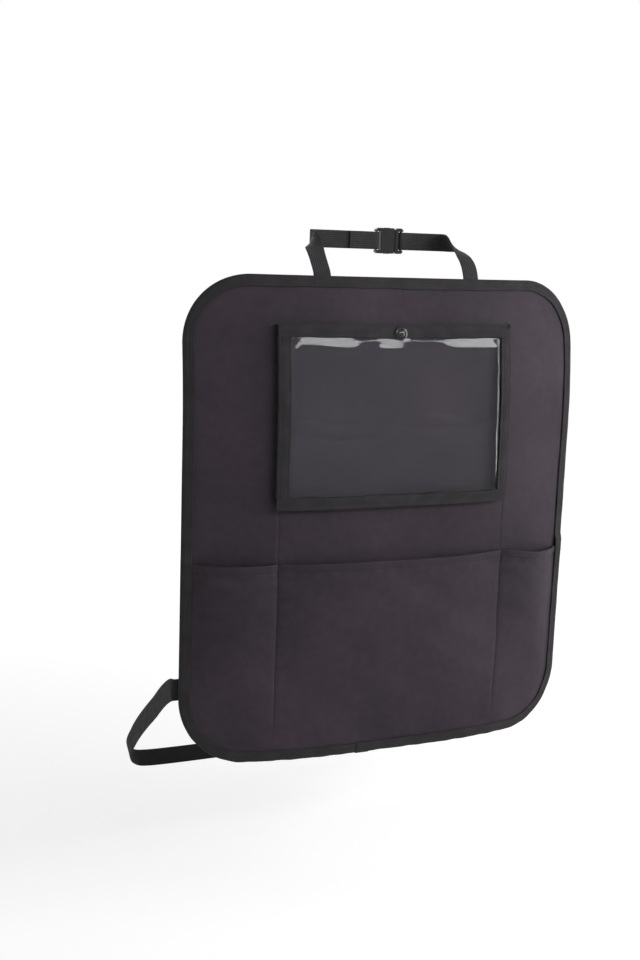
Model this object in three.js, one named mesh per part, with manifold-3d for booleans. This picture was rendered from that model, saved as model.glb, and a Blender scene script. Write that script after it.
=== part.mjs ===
// Seat back protector with a tablet pocket, hung on a car's front seat.
// Millimetres, +Z up. -Y is the rear passenger's side, +Y is the seat's side.
// Cloth pieces are drawn as flat patterns (u across, v up from the bottom edge, n out
// towards the passenger) and are then draped on the curved back of the seat.
import * as THREE from 'three';
import { mergeVertices } from 'three/addons/utils/BufferGeometryUtils.js';
import Module from 'manifold-3d';

const wasm = await Module();
wasm.setup();

// Cloth and tape
const GAP = 0.3;                  // clearance between layers that touch
const PANEL_WIDTH = 492;
const PANEL_HEIGHT = 543.5;
const PANEL_CORNER = 75;
const PANEL_THICK = 1.8;
const BINDING_WIDTH = 11;
const TAPE_THICK = 0.8;

// The seat's back: flat in the middle, round towards its sides, top and bottom
const FLAT_HALF_WIDTH = 60;
const SIDE_RADIUS = 490;
const FLAT_ABOVE = 100;           // height of the flat zone above the panel's middle
const TOP_RADIUS = 770;
const FLAT_BELOW = 200;
const BOTTOM_RADIUS = 530;

// Lower pockets: one sheet sewn down along two dividers
const POCKET_BELOW_WINDOW = 62.5; // from the tablet pocket's foot down to the mouth
const POCKET_THICK = 1.2;
const DIVIDER_U = 141;             // each divider seam from the middle
const HEM_HEIGHT = 8;
const HEM_THICK = 1.0;
const MIDDLE_GAPE = 11;           // how far an empty pocket's mouth stands open
const SIDE_GAPE = 9;
const SEAM_MARGIN = 3;            // flat cloth next to the edge binding
const HEM_STEP = 1;               // the hem's folded edge rises over this height
const BINDING_RAMP = 10;          // the binding steps down to the panel above the mouth
const CORNER_STEPS = 8;

// Tablet pocket: clear film framed with tape on a gusset
const WINDOW_CENTRE = -6;         // across; it is sewn on a little left of the middle
const WINDOW_HALF_WIDTH = 140.5;
const WINDOW_HEIGHT = 199;
const WINDOW_BELOW_TOP = 52.5;    // from the panel's top edge
const FRAME_TAPE_WIDTH = 13;
const FILM_THICK = 0.5;
const FILM_INSET = 1.5;           // film edge inside the tape's fold
const STANDOFF_BOTTOM = 12;       // film's distance from the panel
const STANDOFF_TOP = 9;
const GUSSET_THICK = 0.8;
const GUSSET_FLARE = 2;           // the gusset's seam lies outside the frame
const GUSSET_FLANGE = 6;
const GUSSET_CORNER = 12;

// Snap fastener in the middle of the top tape
const SNAP_CAP_RADIUS = 7.6;
const SNAP_CAP_HEIGHT = 2.6;
const SNAP_DISC_RADIUS = 5.4;
const SNAP_DISC_THICK = 1.2;
const SNAP_NOSE_RADIUS = 2.2;
const SNAP_NOSE_HEIGHT = 2.7;
const SNAP_STEM_RADIUS = 1.4;
const SNAP_SOCKET_HEIGHT = 3.2;
const SNAP_PIN_LENGTH = 1.2;      // the back cap's stem inside the stud's nose
const SNAP_BELOW_MIDDLE = 2;      // of the top tape
const SNAP_PULL_WIDTH = 60;       // the tape bows in towards the snap over this half width

// Elastic straps round the headrest posts
const TOP_STRAP_U = 92;
const TOP_STRAP_WIDTH = 20;
const STRAP_THICK = 1.5;
const STRAP_GAP = 0.5;            // a flat strap on the curved binding
const STRAP_FREE = 5;             // a strap leaves the panel's edge straight
const TOP_STRAP_SEWN = 28;
const TOP_STRAP_STEP = 5;         // strap length between its cross sections
const POST_X = 76;                // headrest posts
const POST_Y = 82;
const POST_RISE = 39.75;          // strap's middle above the panel's top edge
const POST_RADIUS = 6;

// Webbing straps round the foot of the backrest
const SIDE_STRAP_V = 84.5;
const SIDE_STRAP_WIDTH = 25;
const SIDE_STRAP_SEWN = 26;
const SIDE_STRAP_STEP = 14;
const SIDE_STRAP_SLOPE = 8;       // degrees, where the strap leaves the panel
const SIDE_STRAP_OUT = 3.3;       // strap's run along the seat, outside the panel's edge
const RUN_Y = 243;                // the run across the seat's front
const RUN_DROP = 162.75;          // below the straps' sewn ends
const RUN_TILT = 57;              // degrees, the run's width leans back
const RUN_BEND = 26;

// Side release buckles
const BUCKLE_MARGIN = 4.5;        // buckle beyond the webbing on each side
const BUCKLE_THICK = 8;
const BUCKLE_WALL = 1.6;
const BUCKLE_BAR_RADIUS = 1.5;
const BUCKLE_SLOT = 3.2;
const BUCKLE_CAVITY = 16;
const BUCKLE_FLANGE = 4;
const BUCKLE_PRONG = 4;
const BUCKLE_ROUND = 2;
const BUCKLE_BEVEL = 0.8;
const BUCKLE_WINDOW_INSET = 4;
const TOP_BUCKLE_X = 17;
const SIDE_BUCKLE_X = 0;
const LOOP_LENGTH = 14;           // webbing from the bar to where it is sewn on itself
const LOOP_TAIL = 20;             // sewn length of webbing

const PANEL_HALF = PANEL_WIDTH / 2;
const WINDOW_TOP = PANEL_HEIGHT - WINDOW_BELOW_TOP;
const WINDOW_BOTTOM = WINDOW_TOP - WINDOW_HEIGHT;
const WINDOW_LEFT = WINDOW_CENTRE - WINDOW_HALF_WIDTH;
const WINDOW_RIGHT = WINDOW_CENTRE + WINDOW_HALF_WIDTH;
const POCKET_HEIGHT = WINDOW_BOTTOM - POCKET_BELOW_WINDOW;
const HEM_BOTTOM = POCKET_HEIGHT - HEM_HEIGHT;
const POST_Z = PANEL_HEIGHT / 2 + POST_RISE;
const RUN_Z = SIDE_STRAP_V - PANEL_HEIGHT / 2 - RUN_DROP;
const SIDE_SEAM_U = PANEL_HALF - BINDING_WIDTH - SEAM_MARGIN;
const BACK_OF_BINDING = -(PANEL_THICK + GAP + TAPE_THICK);
const STRAP_N = BACK_OF_BINDING - STRAP_GAP - STRAP_THICK / 2;
const SNAP_V = WINDOW_TOP - FRAME_TAPE_WIDTH / 2 - SNAP_BELOW_MIDDLE;

// Stack of the snap along its own axis, as distances from the panel's front
const SNAP_STUD_FRONT = GAP + SNAP_DISC_THICK;
const SNAP_NOSE_FRONT = SNAP_STUD_FRONT + SNAP_NOSE_HEIGHT;
const SNAP_SOCKET_BACK = SNAP_STUD_FRONT + GAP;
const SNAP_SOCKET_FRONT = SNAP_SOCKET_BACK + SNAP_SOCKET_HEIGHT;
const HALF_FOLD = FILM_THICK / 2 + GAP + TAPE_THICK;
const SNAP_STANDOFF = SNAP_SOCKET_FRONT + GAP + HALF_FOLD;
const SNAP_CAP_BACK = SNAP_STANDOFF + HALF_FOLD + GAP;

// Buckle lengths, from its middle outwards to both bars
const SOCKET_LENGTH = 2 * BUCKLE_BAR_RADIUS + BUCKLE_SLOT + BUCKLE_WALL + BUCKLE_CAVITY;
const PLUG_LENGTH = BUCKLE_FLANGE + BUCKLE_SLOT + 2 * BUCKLE_BAR_RADIUS;
const BUCKLE_HALF = (SOCKET_LENGTH + GAP + PLUG_LENGTH) / 2;
const BAR_X = BUCKLE_HALF - BUCKLE_BAR_RADIUS;
const MOUTH_X = SOCKET_LENGTH - BUCKLE_HALF;

const X = new THREE.Vector3(1, 0, 0);
const Z = new THREE.Vector3(0, 0, 1);
const STRAP_OUTLINE = [[-1, -1], [0, -1], [1, -1], [1, 1], [0, 1], [-1, 1]];

// Materials
const cloth = new THREE.MeshStandardMaterial({ color: 0x3a363b, roughness: 0.62, metalness: 0 });
const tape = new THREE.MeshStandardMaterial({ color: 0x1d1c1f, roughness: 0.85, metalness: 0 });
const webbing = new THREE.MeshStandardMaterial({ color: 0x232225, roughness: 0.8, metalness: 0 });
const hardPlastic = new THREE.MeshStandardMaterial({ color: 0x161617, roughness: 0.4, metalness: 0 });
const film = new THREE.MeshStandardMaterial({
  color: 0xe8edf0,
  roughness: 0.08,
  metalness: 0,
  transparent: true,
  opacity: 0.35,
});

// One direction of the seat's back: straight for a while, then a round bend.
function followBend(distance, flat, radius) {
  const angle = Math.max(distance - flat, 0) / radius;
  return {
    along: Math.min(distance, flat) + radius * Math.sin(angle),
    depth: radius * (1 - Math.cos(angle)),
    angle,
  };
}

// A point of the draped pattern. Points outside the pattern keep the bend they reached.
function seatPoint(u, v, n) {
  const across = followBend(Math.abs(u), FLAT_HALF_WIDTH, SIDE_RADIUS);
  const height = v - PANEL_HEIGHT / 2;
  const flat = height > 0 ? FLAT_ABOVE : FLAT_BELOW;
  const radius = height > 0 ? TOP_RADIUS : BOTTOM_RADIUS;
  const up = followBend(Math.abs(height), flat, radius);
  const sideways = new THREE.Vector3(Math.cos(across.angle), Math.sin(across.angle), 0);
  sideways.y *= Math.sign(u);
  const upwards = new THREE.Vector3(0, Math.sin(up.angle), Math.cos(up.angle));
  upwards.y *= Math.sign(height);
  const normal = sideways.cross(upwards).normalize();
  const point = new THREE.Vector3(
    Math.sign(u) * across.along,
    across.depth + up.depth,
    Math.sign(height) * up.along,
  );
  return point.addScaledVector(normal, n);
}

// Turns a closed geometry into a solid that can be cut, and back.
function toSolid(geometry) {
  const bare = geometry.clone();
  bare.deleteAttribute('normal');
  bare.deleteAttribute('uv');
  const merged = mergeVertices(bare, 1e-4);
  return new wasm.Manifold(new wasm.Mesh({
    numProp: 3,
    vertProperties: new Float32Array(merged.attributes.position.array),
    triVerts: new Uint32Array(merged.index.array),
  }));
}

function toGeometry(solid) {
  const mesh = solid.getMesh();
  const geometry = new THREE.BufferGeometry();
  geometry.setAttribute('position', new THREE.BufferAttribute(mesh.vertProperties, 3));
  geometry.setIndex(new THREE.BufferAttribute(mesh.triVerts, 1));
  geometry.computeVertexNormals();
  return geometry;
}

// Volume by summing tetrahedra: negative where the faces point inwards.
function signedVolume(points, index) {
  let volume = 0;
  for (let i = 0; i < index.length; i += 3) {
    const [a, b, c] = [points[index[i]], points[index[i + 1]], points[index[i + 2]]];
    volume += a.dot(b.clone().cross(c)) / 6;
  }
  return volume;
}

// Skins a row of rings. Each ring runs along one face of a strip and back along the
// other, so the second half of its faces is split the other way: a twisted strip then
// keeps its thickness, and layers on each other stay apart.
function loft(rings, closed = false) {
  const count = rings[0].length;
  const points = rings.flat();
  const index = [];
  const spans = closed ? rings.length : rings.length - 1;
  for (let i = 0; i < spans; i += 1) {
    const near = i * count;
    const far = ((i + 1) % rings.length) * count;
    for (let j = 0; j < count; j += 1) {
      const k = (j + 1) % count;
      const [a, b, c, d] = [near + j, near + k, far + k, far + j];
      index.push(...(j < count / 2 ? [a, b, c, a, c, d] : [a, b, d, b, c, d]));
    }
  }
  if (!closed) {
    const last = (rings.length - 1) * count;
    for (let j = 0; j < count / 2 - 1; j += 1) {
      const [a, b, c, d] = [j, j + 1, count - 2 - j, count - 1 - j];
      index.push(c, b, a, d, c, a);
      index.push(last + a, last + b, last + c, last + a, last + c, last + d);
    }
  }
  if (signedVolume(points, index) < 0) {
    index.reverse();
  }
  const geometry = new THREE.BufferGeometry().setFromPoints(points);
  geometry.setIndex(index);
  geometry.computeVertexNormals();
  return geometry;
}

// A strip of even thickness along a bent line, with mitred corners.
function thicken(line, thickness) {
  const left = [];
  const right = [];
  line.forEach((point, i) => {
    const before = line[Math.max(i - 1, 0)];
    const after = line[Math.min(i + 1, line.length - 1)];
    const inward = i > 0 ? point.clone().sub(before).normalize() : null;
    const outward = i < line.length - 1 ? after.clone().sub(point).normalize() : null;
    const along = (inward ?? outward).clone().add(outward ?? inward).normalize();
    const normal = new THREE.Vector2(-along.y, along.x);
    const reach = thickness / 2 / Math.abs(along.dot(inward ?? outward));
    left.push(point.clone().addScaledVector(normal, reach));
    right.push(point.clone().addScaledVector(normal, -reach));
  });
  return [...left, ...right.reverse()];
}

// Sweeps a sewn strip along stations of the flat pattern. Its section is drawn in
// (d, n): d inwards from the station's line, n out of the panel.
function sewnStrip(stations, sectionAt, closed = false) {
  const rings = stations.map((station) => sectionAt(station).map((corner) => seatPoint(
    station.u + station.inU * corner.x,
    station.v + station.inV * corner.x,
    corner.y,
  )));
  return loft(rings, closed);
}

// A sheet over a grid of the flat pattern.
function sheet(columns, rows, placeAt) {
  const pointAt = (column, row, front) => {
    const { u, v, n } = placeAt(column, row, front);
    return seatPoint(u, v, n);
  };
  return loft(rows.map((row) => [
    ...columns.map((column) => pointAt(column, row, true)),
    ...columns.map((column) => pointAt(column, row, false)).reverse(),
  ]));
}

// Even steps from one value to another, without the last one.
function steps(from, to, count) {
  return Array.from({ length: count }, (_, i) => from + (to - from) * i / count);
}

// Quarter turns of a rounded corner, as the share of the radius that is left.
const cornerRise = steps(0, Math.PI / 2, CORNER_STEPS).map((angle) => 1 - Math.cos(angle));
const UPPER_BEND = PANEL_HEIGHT / 2 + FLAT_ABOVE;
const cornerRows = cornerRise.map((rise) => rise * PANEL_CORNER);
const POCKET_ROWS = [
  ...cornerRows,
  ...steps(PANEL_CORNER, HEM_BOTTOM - HEM_STEP, 3),
  HEM_BOTTOM - HEM_STEP,
  HEM_BOTTOM,
  POCKET_HEIGHT,
];
const PANEL_ROWS = [
  ...POCKET_ROWS,
  POCKET_HEIGHT + BINDING_RAMP,
  UPPER_BEND,
  ...steps(UPPER_BEND, PANEL_HEIGHT - PANEL_CORNER, 4).slice(1),
  PANEL_HEIGHT - PANEL_CORNER,
  ...cornerRows.map((v) => PANEL_HEIGHT - v).reverse(),
];
const HALF_COLUMNS = [
  ...steps(0, FLAT_HALF_WIDTH, 2),
  ...steps(FLAT_HALF_WIDTH, DIVIDER_U, 4),
  ...steps(DIVIDER_U, SIDE_SEAM_U, 4),
  SIDE_SEAM_U,
  PANEL_HALF,
].map((u) => u / PANEL_HALF);
const PANEL_COLUMNS = [...HALF_COLUMNS.slice(1).reverse().map((share) => -share), ...HALF_COLUMNS];

// Half the panel's width at a height, narrower in its rounded corners.
function halfWidthAt(v) {
  const inCorner = Math.max(PANEL_CORNER - v, v - (PANEL_HEIGHT - PANEL_CORNER), 0);
  return PANEL_HALF - PANEL_CORNER + Math.sqrt(Math.max(PANEL_CORNER ** 2 - inCorner ** 2, 0));
}

function smooth(share) {
  const t = Math.min(Math.max(share, 0), 1);
  return t * t * (3 - 2 * t);
}

// How far the lower pocket's cloth stands off the panel.
function pocketGape(u, v) {
  const inMiddle = Math.abs(u) < DIVIDER_U;
  const centre = inMiddle ? 0 : (DIVIDER_U + SIDE_SEAM_U) / 2;
  const half = inMiddle ? DIVIDER_U : (SIDE_SEAM_U - DIVIDER_U) / 2;
  const across = Math.min(Math.abs(Math.abs(u) - centre) / half, 1);
  const sewnBottom = BINDING_WIDTH + SEAM_MARGIN;
  const upwards = smooth((v - sewnBottom) / (POCKET_HEIGHT - sewnBottom));
  return (inMiddle ? MIDDLE_GAPE : SIDE_GAPE) * (1 - across ** 2) * upwards;
}

// The film's distance from the panel, pulled in where the snap holds it.
function filmStandoff(u, v) {
  const rise = Math.min((v - WINDOW_BOTTOM) / (WINDOW_HEIGHT - FRAME_TAPE_WIDTH), 1);
  const reach = SNAP_PULL_WIDTH - SNAP_CAP_RADIUS;
  const aside = Math.abs(u - WINDOW_CENTRE);
  const near = smooth((SNAP_PULL_WIDTH - aside) / reach) * smooth(2 * rise - 1);
  const pull = (STANDOFF_TOP - SNAP_STANDOFF) * near;
  return STANDOFF_BOTTOM + (STANDOFF_TOP - STANDOFF_BOTTOM) * rise - pull;
}

// A round hole for the snap's stem through draped cloth, between two heights.
function drillForSnap(geometry, from, to) {
  const radius = SNAP_STEM_RADIUS + GAP;
  const tool = new THREE.CylinderGeometry(radius, radius, to - from, 16);
  tool.rotateX(-Math.PI / 2);
  tool.translate(0, 0, (from + to) / 2);
  tool.applyMatrix4(snapPlace());
  return toGeometry(toSolid(geometry).subtract(toSolid(tool)));
}

// Place of the snap on the panel: its own +Z points out to the passenger.
function snapPlace() {
  const foot = seatPoint(WINDOW_CENTRE, SNAP_V, 0);
  const out = seatPoint(WINDOW_CENTRE, SNAP_V, 1).sub(foot).normalize();
  const turn = new THREE.Quaternion().setFromUnitVectors(new THREE.Vector3(0, 0, 1), out);
  return new THREE.Matrix4().compose(foot, turn, new THREE.Vector3(1, 1, 1));
}

function makeBackPanel() {
  const geometry = sheet(PANEL_COLUMNS, PANEL_ROWS, (share, v, front) => ({
    u: share * halfWidthAt(v),
    v,
    n: front ? 0 : -PANEL_THICK,
  }));
  return drillForSnap(geometry, -PANEL_THICK - 2, 2);
}

function makeLowerPocket() {
  return sheet(PANEL_COLUMNS, POCKET_ROWS, (share, v, front) => {
    const u = share * halfWidthAt(v);
    const hem = v >= HEM_BOTTOM ? HEM_THICK : 0;
    const back = GAP + pocketGape(u, v);
    return { u, v, n: front ? back + POCKET_THICK + hem : back };
  });
}

// The binding's front leg lies on the pocket's cloth below its mouth.
function bindingFrontAt(v) {
  const onPanel = GAP;
  const onPocket = 2 * GAP + POCKET_THICK;
  const onHem = onPocket + HEM_THICK;
  if (v <= HEM_BOTTOM) {
    const rampFoot = HEM_BOTTOM - HEM_STEP - 3 * BINDING_RAMP;
    return onPocket + HEM_THICK * smooth((v - rampFoot) / (3 * BINDING_RAMP));
  }
  return onHem - (onHem - onPanel) * smooth((v - POCKET_HEIGHT) / BINDING_RAMP);
}

// A place on the panel's edge, with the direction inwards in the flat pattern.
function edgeStation(side, v) {
  const below = Math.max(PANEL_CORNER - v, 0) / PANEL_CORNER;
  const above = Math.max(v - (PANEL_HEIGHT - PANEL_CORNER), 0) / PANEL_CORNER;
  const inV = below - above;
  return { u: side * halfWidthAt(v), v, inU: -side * Math.sqrt(1 - inV ** 2), inV };
}

function makeEdgeBinding() {
  const straight = PANEL_HALF - PANEL_CORNER;
  const shares = PANEL_COLUMNS.slice(1, -1);
  const bottom = shares.map((share) => ({ u: share * straight, v: 0, inU: 0, inV: 1 }));
  const top = shares.map((share) => ({ u: -share * straight, v: PANEL_HEIGHT, inU: 0, inV: -1 }));
  const stations = [
    ...bottom,
    ...PANEL_ROWS.map((v) => edgeStation(1, v)),
    ...top,
    ...[...PANEL_ROWS].reverse().map((v) => edgeStation(-1, v)),
  ];
  return sewnStrip(stations, (station) => {
    const front = bindingFrontAt(station.v) + TAPE_THICK / 2;
    const back = -(PANEL_THICK + GAP + TAPE_THICK / 2);
    const fold = -(GAP + TAPE_THICK / 2);
    return thicken([
      new THREE.Vector2(BINDING_WIDTH, front),
      new THREE.Vector2(fold, front),
      new THREE.Vector2(fold, back),
      new THREE.Vector2(BINDING_WIDTH, back),
    ], TAPE_THICK);
  }, true);
}

const WINDOW_COLUMNS = [...steps(WINDOW_LEFT, WINDOW_RIGHT, 18), WINDOW_RIGHT];

function makeWindowFilm() {
  const left = WINDOW_LEFT + FILM_INSET;
  const right = WINDOW_RIGHT - FILM_INSET;
  const top = WINDOW_TOP - FILM_INSET;
  const columns = WINDOW_COLUMNS.map((u) => Math.min(Math.max(u, left), right));
  const tapeEdge = WINDOW_TOP - FRAME_TAPE_WIDTH;
  const rows = [...steps(WINDOW_BOTTOM + FILM_INSET, tapeEdge, 9), tapeEdge, top];
  const geometry = sheet(columns, rows, (u, v, front) => ({
    u,
    v,
    n: filmStandoff(u, v) + (front ? FILM_THICK : -FILM_THICK) / 2,
  }));
  return drillForSnap(geometry, SNAP_STANDOFF - 3, SNAP_STANDOFF + 3);
}

// Folded tape over an edge of the film.
function foldedTape(stations) {
  const leg = FILM_THICK / 2 + GAP + TAPE_THICK / 2;
  const fold = FILM_INSET - GAP - TAPE_THICK / 2;
  return sewnStrip(stations, ({ u, v, inU, inV }) => {
    const offFilm = (d, off) => new THREE.Vector2(d, filmStandoff(u + inU * d, v + inV * d) + off);
    return thicken([
      offFilm(FRAME_TAPE_WIDTH, leg),
      offFilm(fold, leg),
      offFilm(fold, -leg),
      offFilm(FRAME_TAPE_WIDTH, -leg),
    ], TAPE_THICK);
  });
}

function makeTopTape() {
  const stations = WINDOW_COLUMNS.map((u) => ({ u, v: WINDOW_TOP, inU: 0, inV: -1 }));
  const geometry = foldedTape(stations);
  return drillForSnap(geometry, SNAP_STANDOFF - 4, SNAP_STANDOFF + 4);
}

function makeBottomTape() {
  const stations = WINDOW_COLUMNS.map((u) => ({ u, v: WINDOW_BOTTOM, inU: 0, inV: 1 }));
  return foldedTape(stations);
}

function makeSideTape(side) {
  const u = WINDOW_CENTRE + side * WINDOW_HALF_WIDTH;
  const bottom = WINDOW_BOTTOM + FRAME_TAPE_WIDTH + GAP;
  const top = WINDOW_TOP - FRAME_TAPE_WIDTH - GAP;
  const stations = steps(bottom, top, 9).concat(top)
    .map((v) => ({ u, v, inU: -side, inV: 0 }));
  return foldedTape(stations);
}

// The gusset runs down one side of the tablet pocket, under it and up the other side.
function makeGusset() {
  const half = WINDOW_HALF_WIDTH + GUSSET_FLARE;
  const bottom = WINDOW_BOTTOM - GUSSET_FLARE;
  const corner = GUSSET_CORNER + GUSSET_FLARE;
  const down = steps(WINDOW_TOP, bottom + corner, 9).map((v) => ({ u: -half, v, inU: 1, inV: 0 }));
  const turn = steps(0, Math.PI / 2, 4).map((angle) => ({
    u: -half + corner - corner * Math.cos(angle),
    v: bottom + corner - corner * Math.sin(angle),
    inU: Math.cos(angle),
    inV: Math.sin(angle),
  }));
  const across = steps(-half + corner, 0, 9).map((u) => ({ u, v: bottom, inU: 0, inV: 1 }));
  const leftHalf = [...down, ...turn, ...across];
  const rightHalf = leftHalf.map((station) => ({ ...station, u: -station.u, inU: -station.inU })).reverse();
  const stations = [...leftHalf, { u: 0, v: bottom, inU: 0, inV: 1 }, ...rightHalf]
    .map((station) => ({ ...station, u: station.u + WINDOW_CENTRE }));
  return sewnStrip(stations, (station) => {
    const standoff = filmStandoff(station.u, Math.max(station.v, WINDOW_BOTTOM));
    const top = standoff - HALF_FOLD - GAP - GUSSET_THICK / 2;
    const foot = GAP + GUSSET_THICK / 2;
    return thicken([
      new THREE.Vector2(GUSSET_FLANGE, foot),
      new THREE.Vector2(0, foot),
      new THREE.Vector2(GUSSET_FLARE, top),
      new THREE.Vector2(GUSSET_FLARE + FRAME_TAPE_WIDTH - 2, top),
    ], GUSSET_THICK);
  });
}

// Snap fastener, four turned pieces on one axis square to the panel.
function turned(profile) {
  const geometry = new THREE.LatheGeometry(profile.map(([r, h]) => new THREE.Vector2(r, h)), 24);
  geometry.rotateX(Math.PI / 2);
  return geometry.applyMatrix4(snapPlace());
}

function makeSnapCap() {
  const back = SNAP_CAP_BACK;
  const front = back + SNAP_CAP_HEIGHT;
  const stemEnd = SNAP_NOSE_FRONT + GAP;
  return turned([
    [0, stemEnd],
    [SNAP_STEM_RADIUS, stemEnd],
    [SNAP_STEM_RADIUS, back],
    [SNAP_CAP_RADIUS - 0.4, back],
    [SNAP_CAP_RADIUS, back + 0.4],
    [SNAP_CAP_RADIUS, back + 1.0],
    [SNAP_CAP_RADIUS - 0.6, back + 1.7],
    [SNAP_CAP_RADIUS - 1.8, back + 1.8],
    [SNAP_CAP_RADIUS - 2.4, front - 0.3],
    [SNAP_CAP_RADIUS - 4.6, front],
    [0, front],
  ]);
}

function makeSnapSocket() {
  const bore = SNAP_NOSE_RADIUS + GAP;
  const step = SNAP_NOSE_FRONT + GAP / 2;
  return turned([
    [bore, SNAP_SOCKET_BACK],
    [SNAP_DISC_RADIUS, SNAP_SOCKET_BACK],
    [SNAP_DISC_RADIUS, SNAP_SOCKET_BACK + 1.4],
    [SNAP_DISC_RADIUS - 0.8, SNAP_SOCKET_FRONT],
    [SNAP_STEM_RADIUS + GAP, SNAP_SOCKET_FRONT],
    [SNAP_STEM_RADIUS + GAP, step],
    [bore, step],
    [bore, SNAP_SOCKET_BACK],
  ]);
}

function makeSnapStud() {
  const bore = SNAP_STEM_RADIUS + GAP;
  const boreEnd = SNAP_STUD_FRONT + SNAP_PIN_LENGTH;
  return turned([
    [0, boreEnd],
    [bore, boreEnd],
    [bore, GAP],
    [SNAP_DISC_RADIUS, GAP],
    [SNAP_DISC_RADIUS, SNAP_STUD_FRONT],
    [SNAP_NOSE_RADIUS, SNAP_STUD_FRONT],
    [SNAP_NOSE_RADIUS, SNAP_NOSE_FRONT - 0.5],
    [SNAP_NOSE_RADIUS - 0.6, SNAP_NOSE_FRONT],
    [0, SNAP_NOSE_FRONT],
  ]);
}

function makeSnapBackCap() {
  const front = -PANEL_THICK - GAP;
  const stemEnd = SNAP_STUD_FRONT + SNAP_PIN_LENGTH - GAP;
  return turned([
    [0, front - SNAP_DISC_THICK],
    [SNAP_CAP_RADIUS - 0.8, front - SNAP_DISC_THICK],
    [SNAP_CAP_RADIUS, front - SNAP_DISC_THICK + 0.6],
    [SNAP_CAP_RADIUS, front],
    [SNAP_STEM_RADIUS, front],
    [SNAP_STEM_RADIUS, stemEnd],
    [0, stemEnd],
  ]);
}

// A flat strap along a smooth line. Each knot gives a place and where its width points.
function strap(knots, width, step) {
  const curve = new THREE.CatmullRomCurve3(knots.map((knot) => knot.at), false, 'centripetal');
  const spans = knots.length - 1;
  const ringAt = (i, share) => {
    const along = curve.getTangent((i + share) / spans);
    const centre = curve.getPoint((i + share) / spans);
    const wide = knots[i].wide.clone().lerp(knots[Math.min(i + 1, spans)].wide, share);
    wide.addScaledVector(along, -wide.dot(along)).normalize();
    const thick = along.clone().cross(wide).normalize();
    return STRAP_OUTLINE.map(([x, y]) => centre.clone()
      .addScaledVector(wide, x * width / 2)
      .addScaledVector(thick, y * STRAP_THICK / 2));
  };
  const rings = [];
  for (let i = 0; i < spans; i += 1) {
    const pieces = Math.max(1, Math.round(knots[i].at.distanceTo(knots[i + 1].at) / step));
    for (const share of steps(0, 1, pieces)) {
      rings.push(ringAt(i, share));
    }
  }
  rings.push(ringAt(spans, 0));
  return loft(rings);
}

// Webbing that reaches a buckle's bar, goes round it and is sewn back on itself.
// Each point is [distance outside the bar, distance off the strap's plane].
function barLoop() {
  const wrap = BUCKLE_BAR_RADIUS + GAP + STRAP_THICK / 2;
  const apart = STRAP_THICK + 2 * GAP;
  const turn = [90, 45, 0, -45, -90].map((degrees) => {
    const angle = degrees * Math.PI / 180;
    return [-wrap * Math.cos(angle), wrap * Math.sin(angle)];
  });
  return [
    [LOOP_LENGTH + LOOP_TAIL, 0],
    [LOOP_LENGTH, 0],
    [LOOP_LENGTH / 2, 0.4 * wrap],
    ...turn,
    [LOOP_LENGTH / 2, -0.9 * wrap],
    [LOOP_LENGTH, -apart],
    [LOOP_LENGTH + LOOP_TAIL, -apart],
  ];
}

// Places along a strap's free run from one point to another. Each row gives the share
// of the way in x, y and z, and how far the strap's width has turned, in degrees.
const TOP_RUN = [
  [-0.09, 0.14, 0.33, 0],
  [-0.03, 0.31, 0.57, 4],
  [0.2, 0.52, 0.78, 22],
  [0.54, 0.72, 0.92, 52],
  [0.89, 0.88, 0.99, 80],
];
const SIDE_RUN = [
  [0.85, 0.03, 0.01, 10],
  [1, 0.09, 0.05, 19],
  [1, 0.21, 0.15, 28],
  [1, 0.39, 0.33, 33],
  [1, 0.57, 0.5, 37],
  [1, 0.74, 0.67, 41],
  [1, 0.88, 0.83, 49],
];

function alongRun(run, from, to, wideAt) {
  const way = to.clone().sub(from);
  return run.map(([x, y, z, degrees]) => ({
    at: new THREE.Vector3(x, y, z).multiply(way).add(from),
    wide: wideAt(degrees * Math.PI / 180),
  }));
}

// Points run from the panel, over the seat's shoulder, round the outside of a headrest
// post and along its front to the buckle.
function makeTopStrap(side) {
  const lean = followBend(TOP_STRAP_U, FLAT_HALF_WIDTH, SIDE_RADIUS).angle;
  const inwards = new THREE.Vector3(-side * Math.cos(lean), -Math.sin(lean), 0);
  const turned = (angle) => inwards.clone()
    .multiplyScalar(Math.cos(angle))
    .addScaledVector(Z, Math.sin(angle));
  const sewn = (inside) => ({
    at: seatPoint(side * TOP_STRAP_U, PANEL_HEIGHT - inside, STRAP_N),
    wide: inwards,
  });
  const wrap = POST_RADIUS + GAP + STRAP_THICK / 2;
  const roundPost = [0, 22.5, 45, 67.5, 90].map((degrees) => {
    const angle = degrees * Math.PI / 180;
    const x = side * (POST_X + wrap * Math.cos(angle));
    return { at: new THREE.Vector3(x, POST_Y + wrap * Math.sin(angle), POST_Z), wide: Z };
  });
  const barX = TOP_BUCKLE_X + side * BAR_X;
  const toBuckle = barLoop().map(([outside, off]) => ({
    at: new THREE.Vector3(barX + side * outside, POST_Y + wrap + off, POST_Z),
    wide: Z,
  }));
  const free = sewn(-STRAP_FREE);
  return strap([
    sewn(TOP_STRAP_SEWN),
    sewn(TOP_STRAP_SEWN / 2),
    sewn(0),
    free,
    ...alongRun(TOP_RUN, free.at, roundPost[0].at, turned),
    ...roundPost,
    ...toBuckle,
  ], TOP_STRAP_WIDTH, TOP_STRAP_STEP);
}

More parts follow.
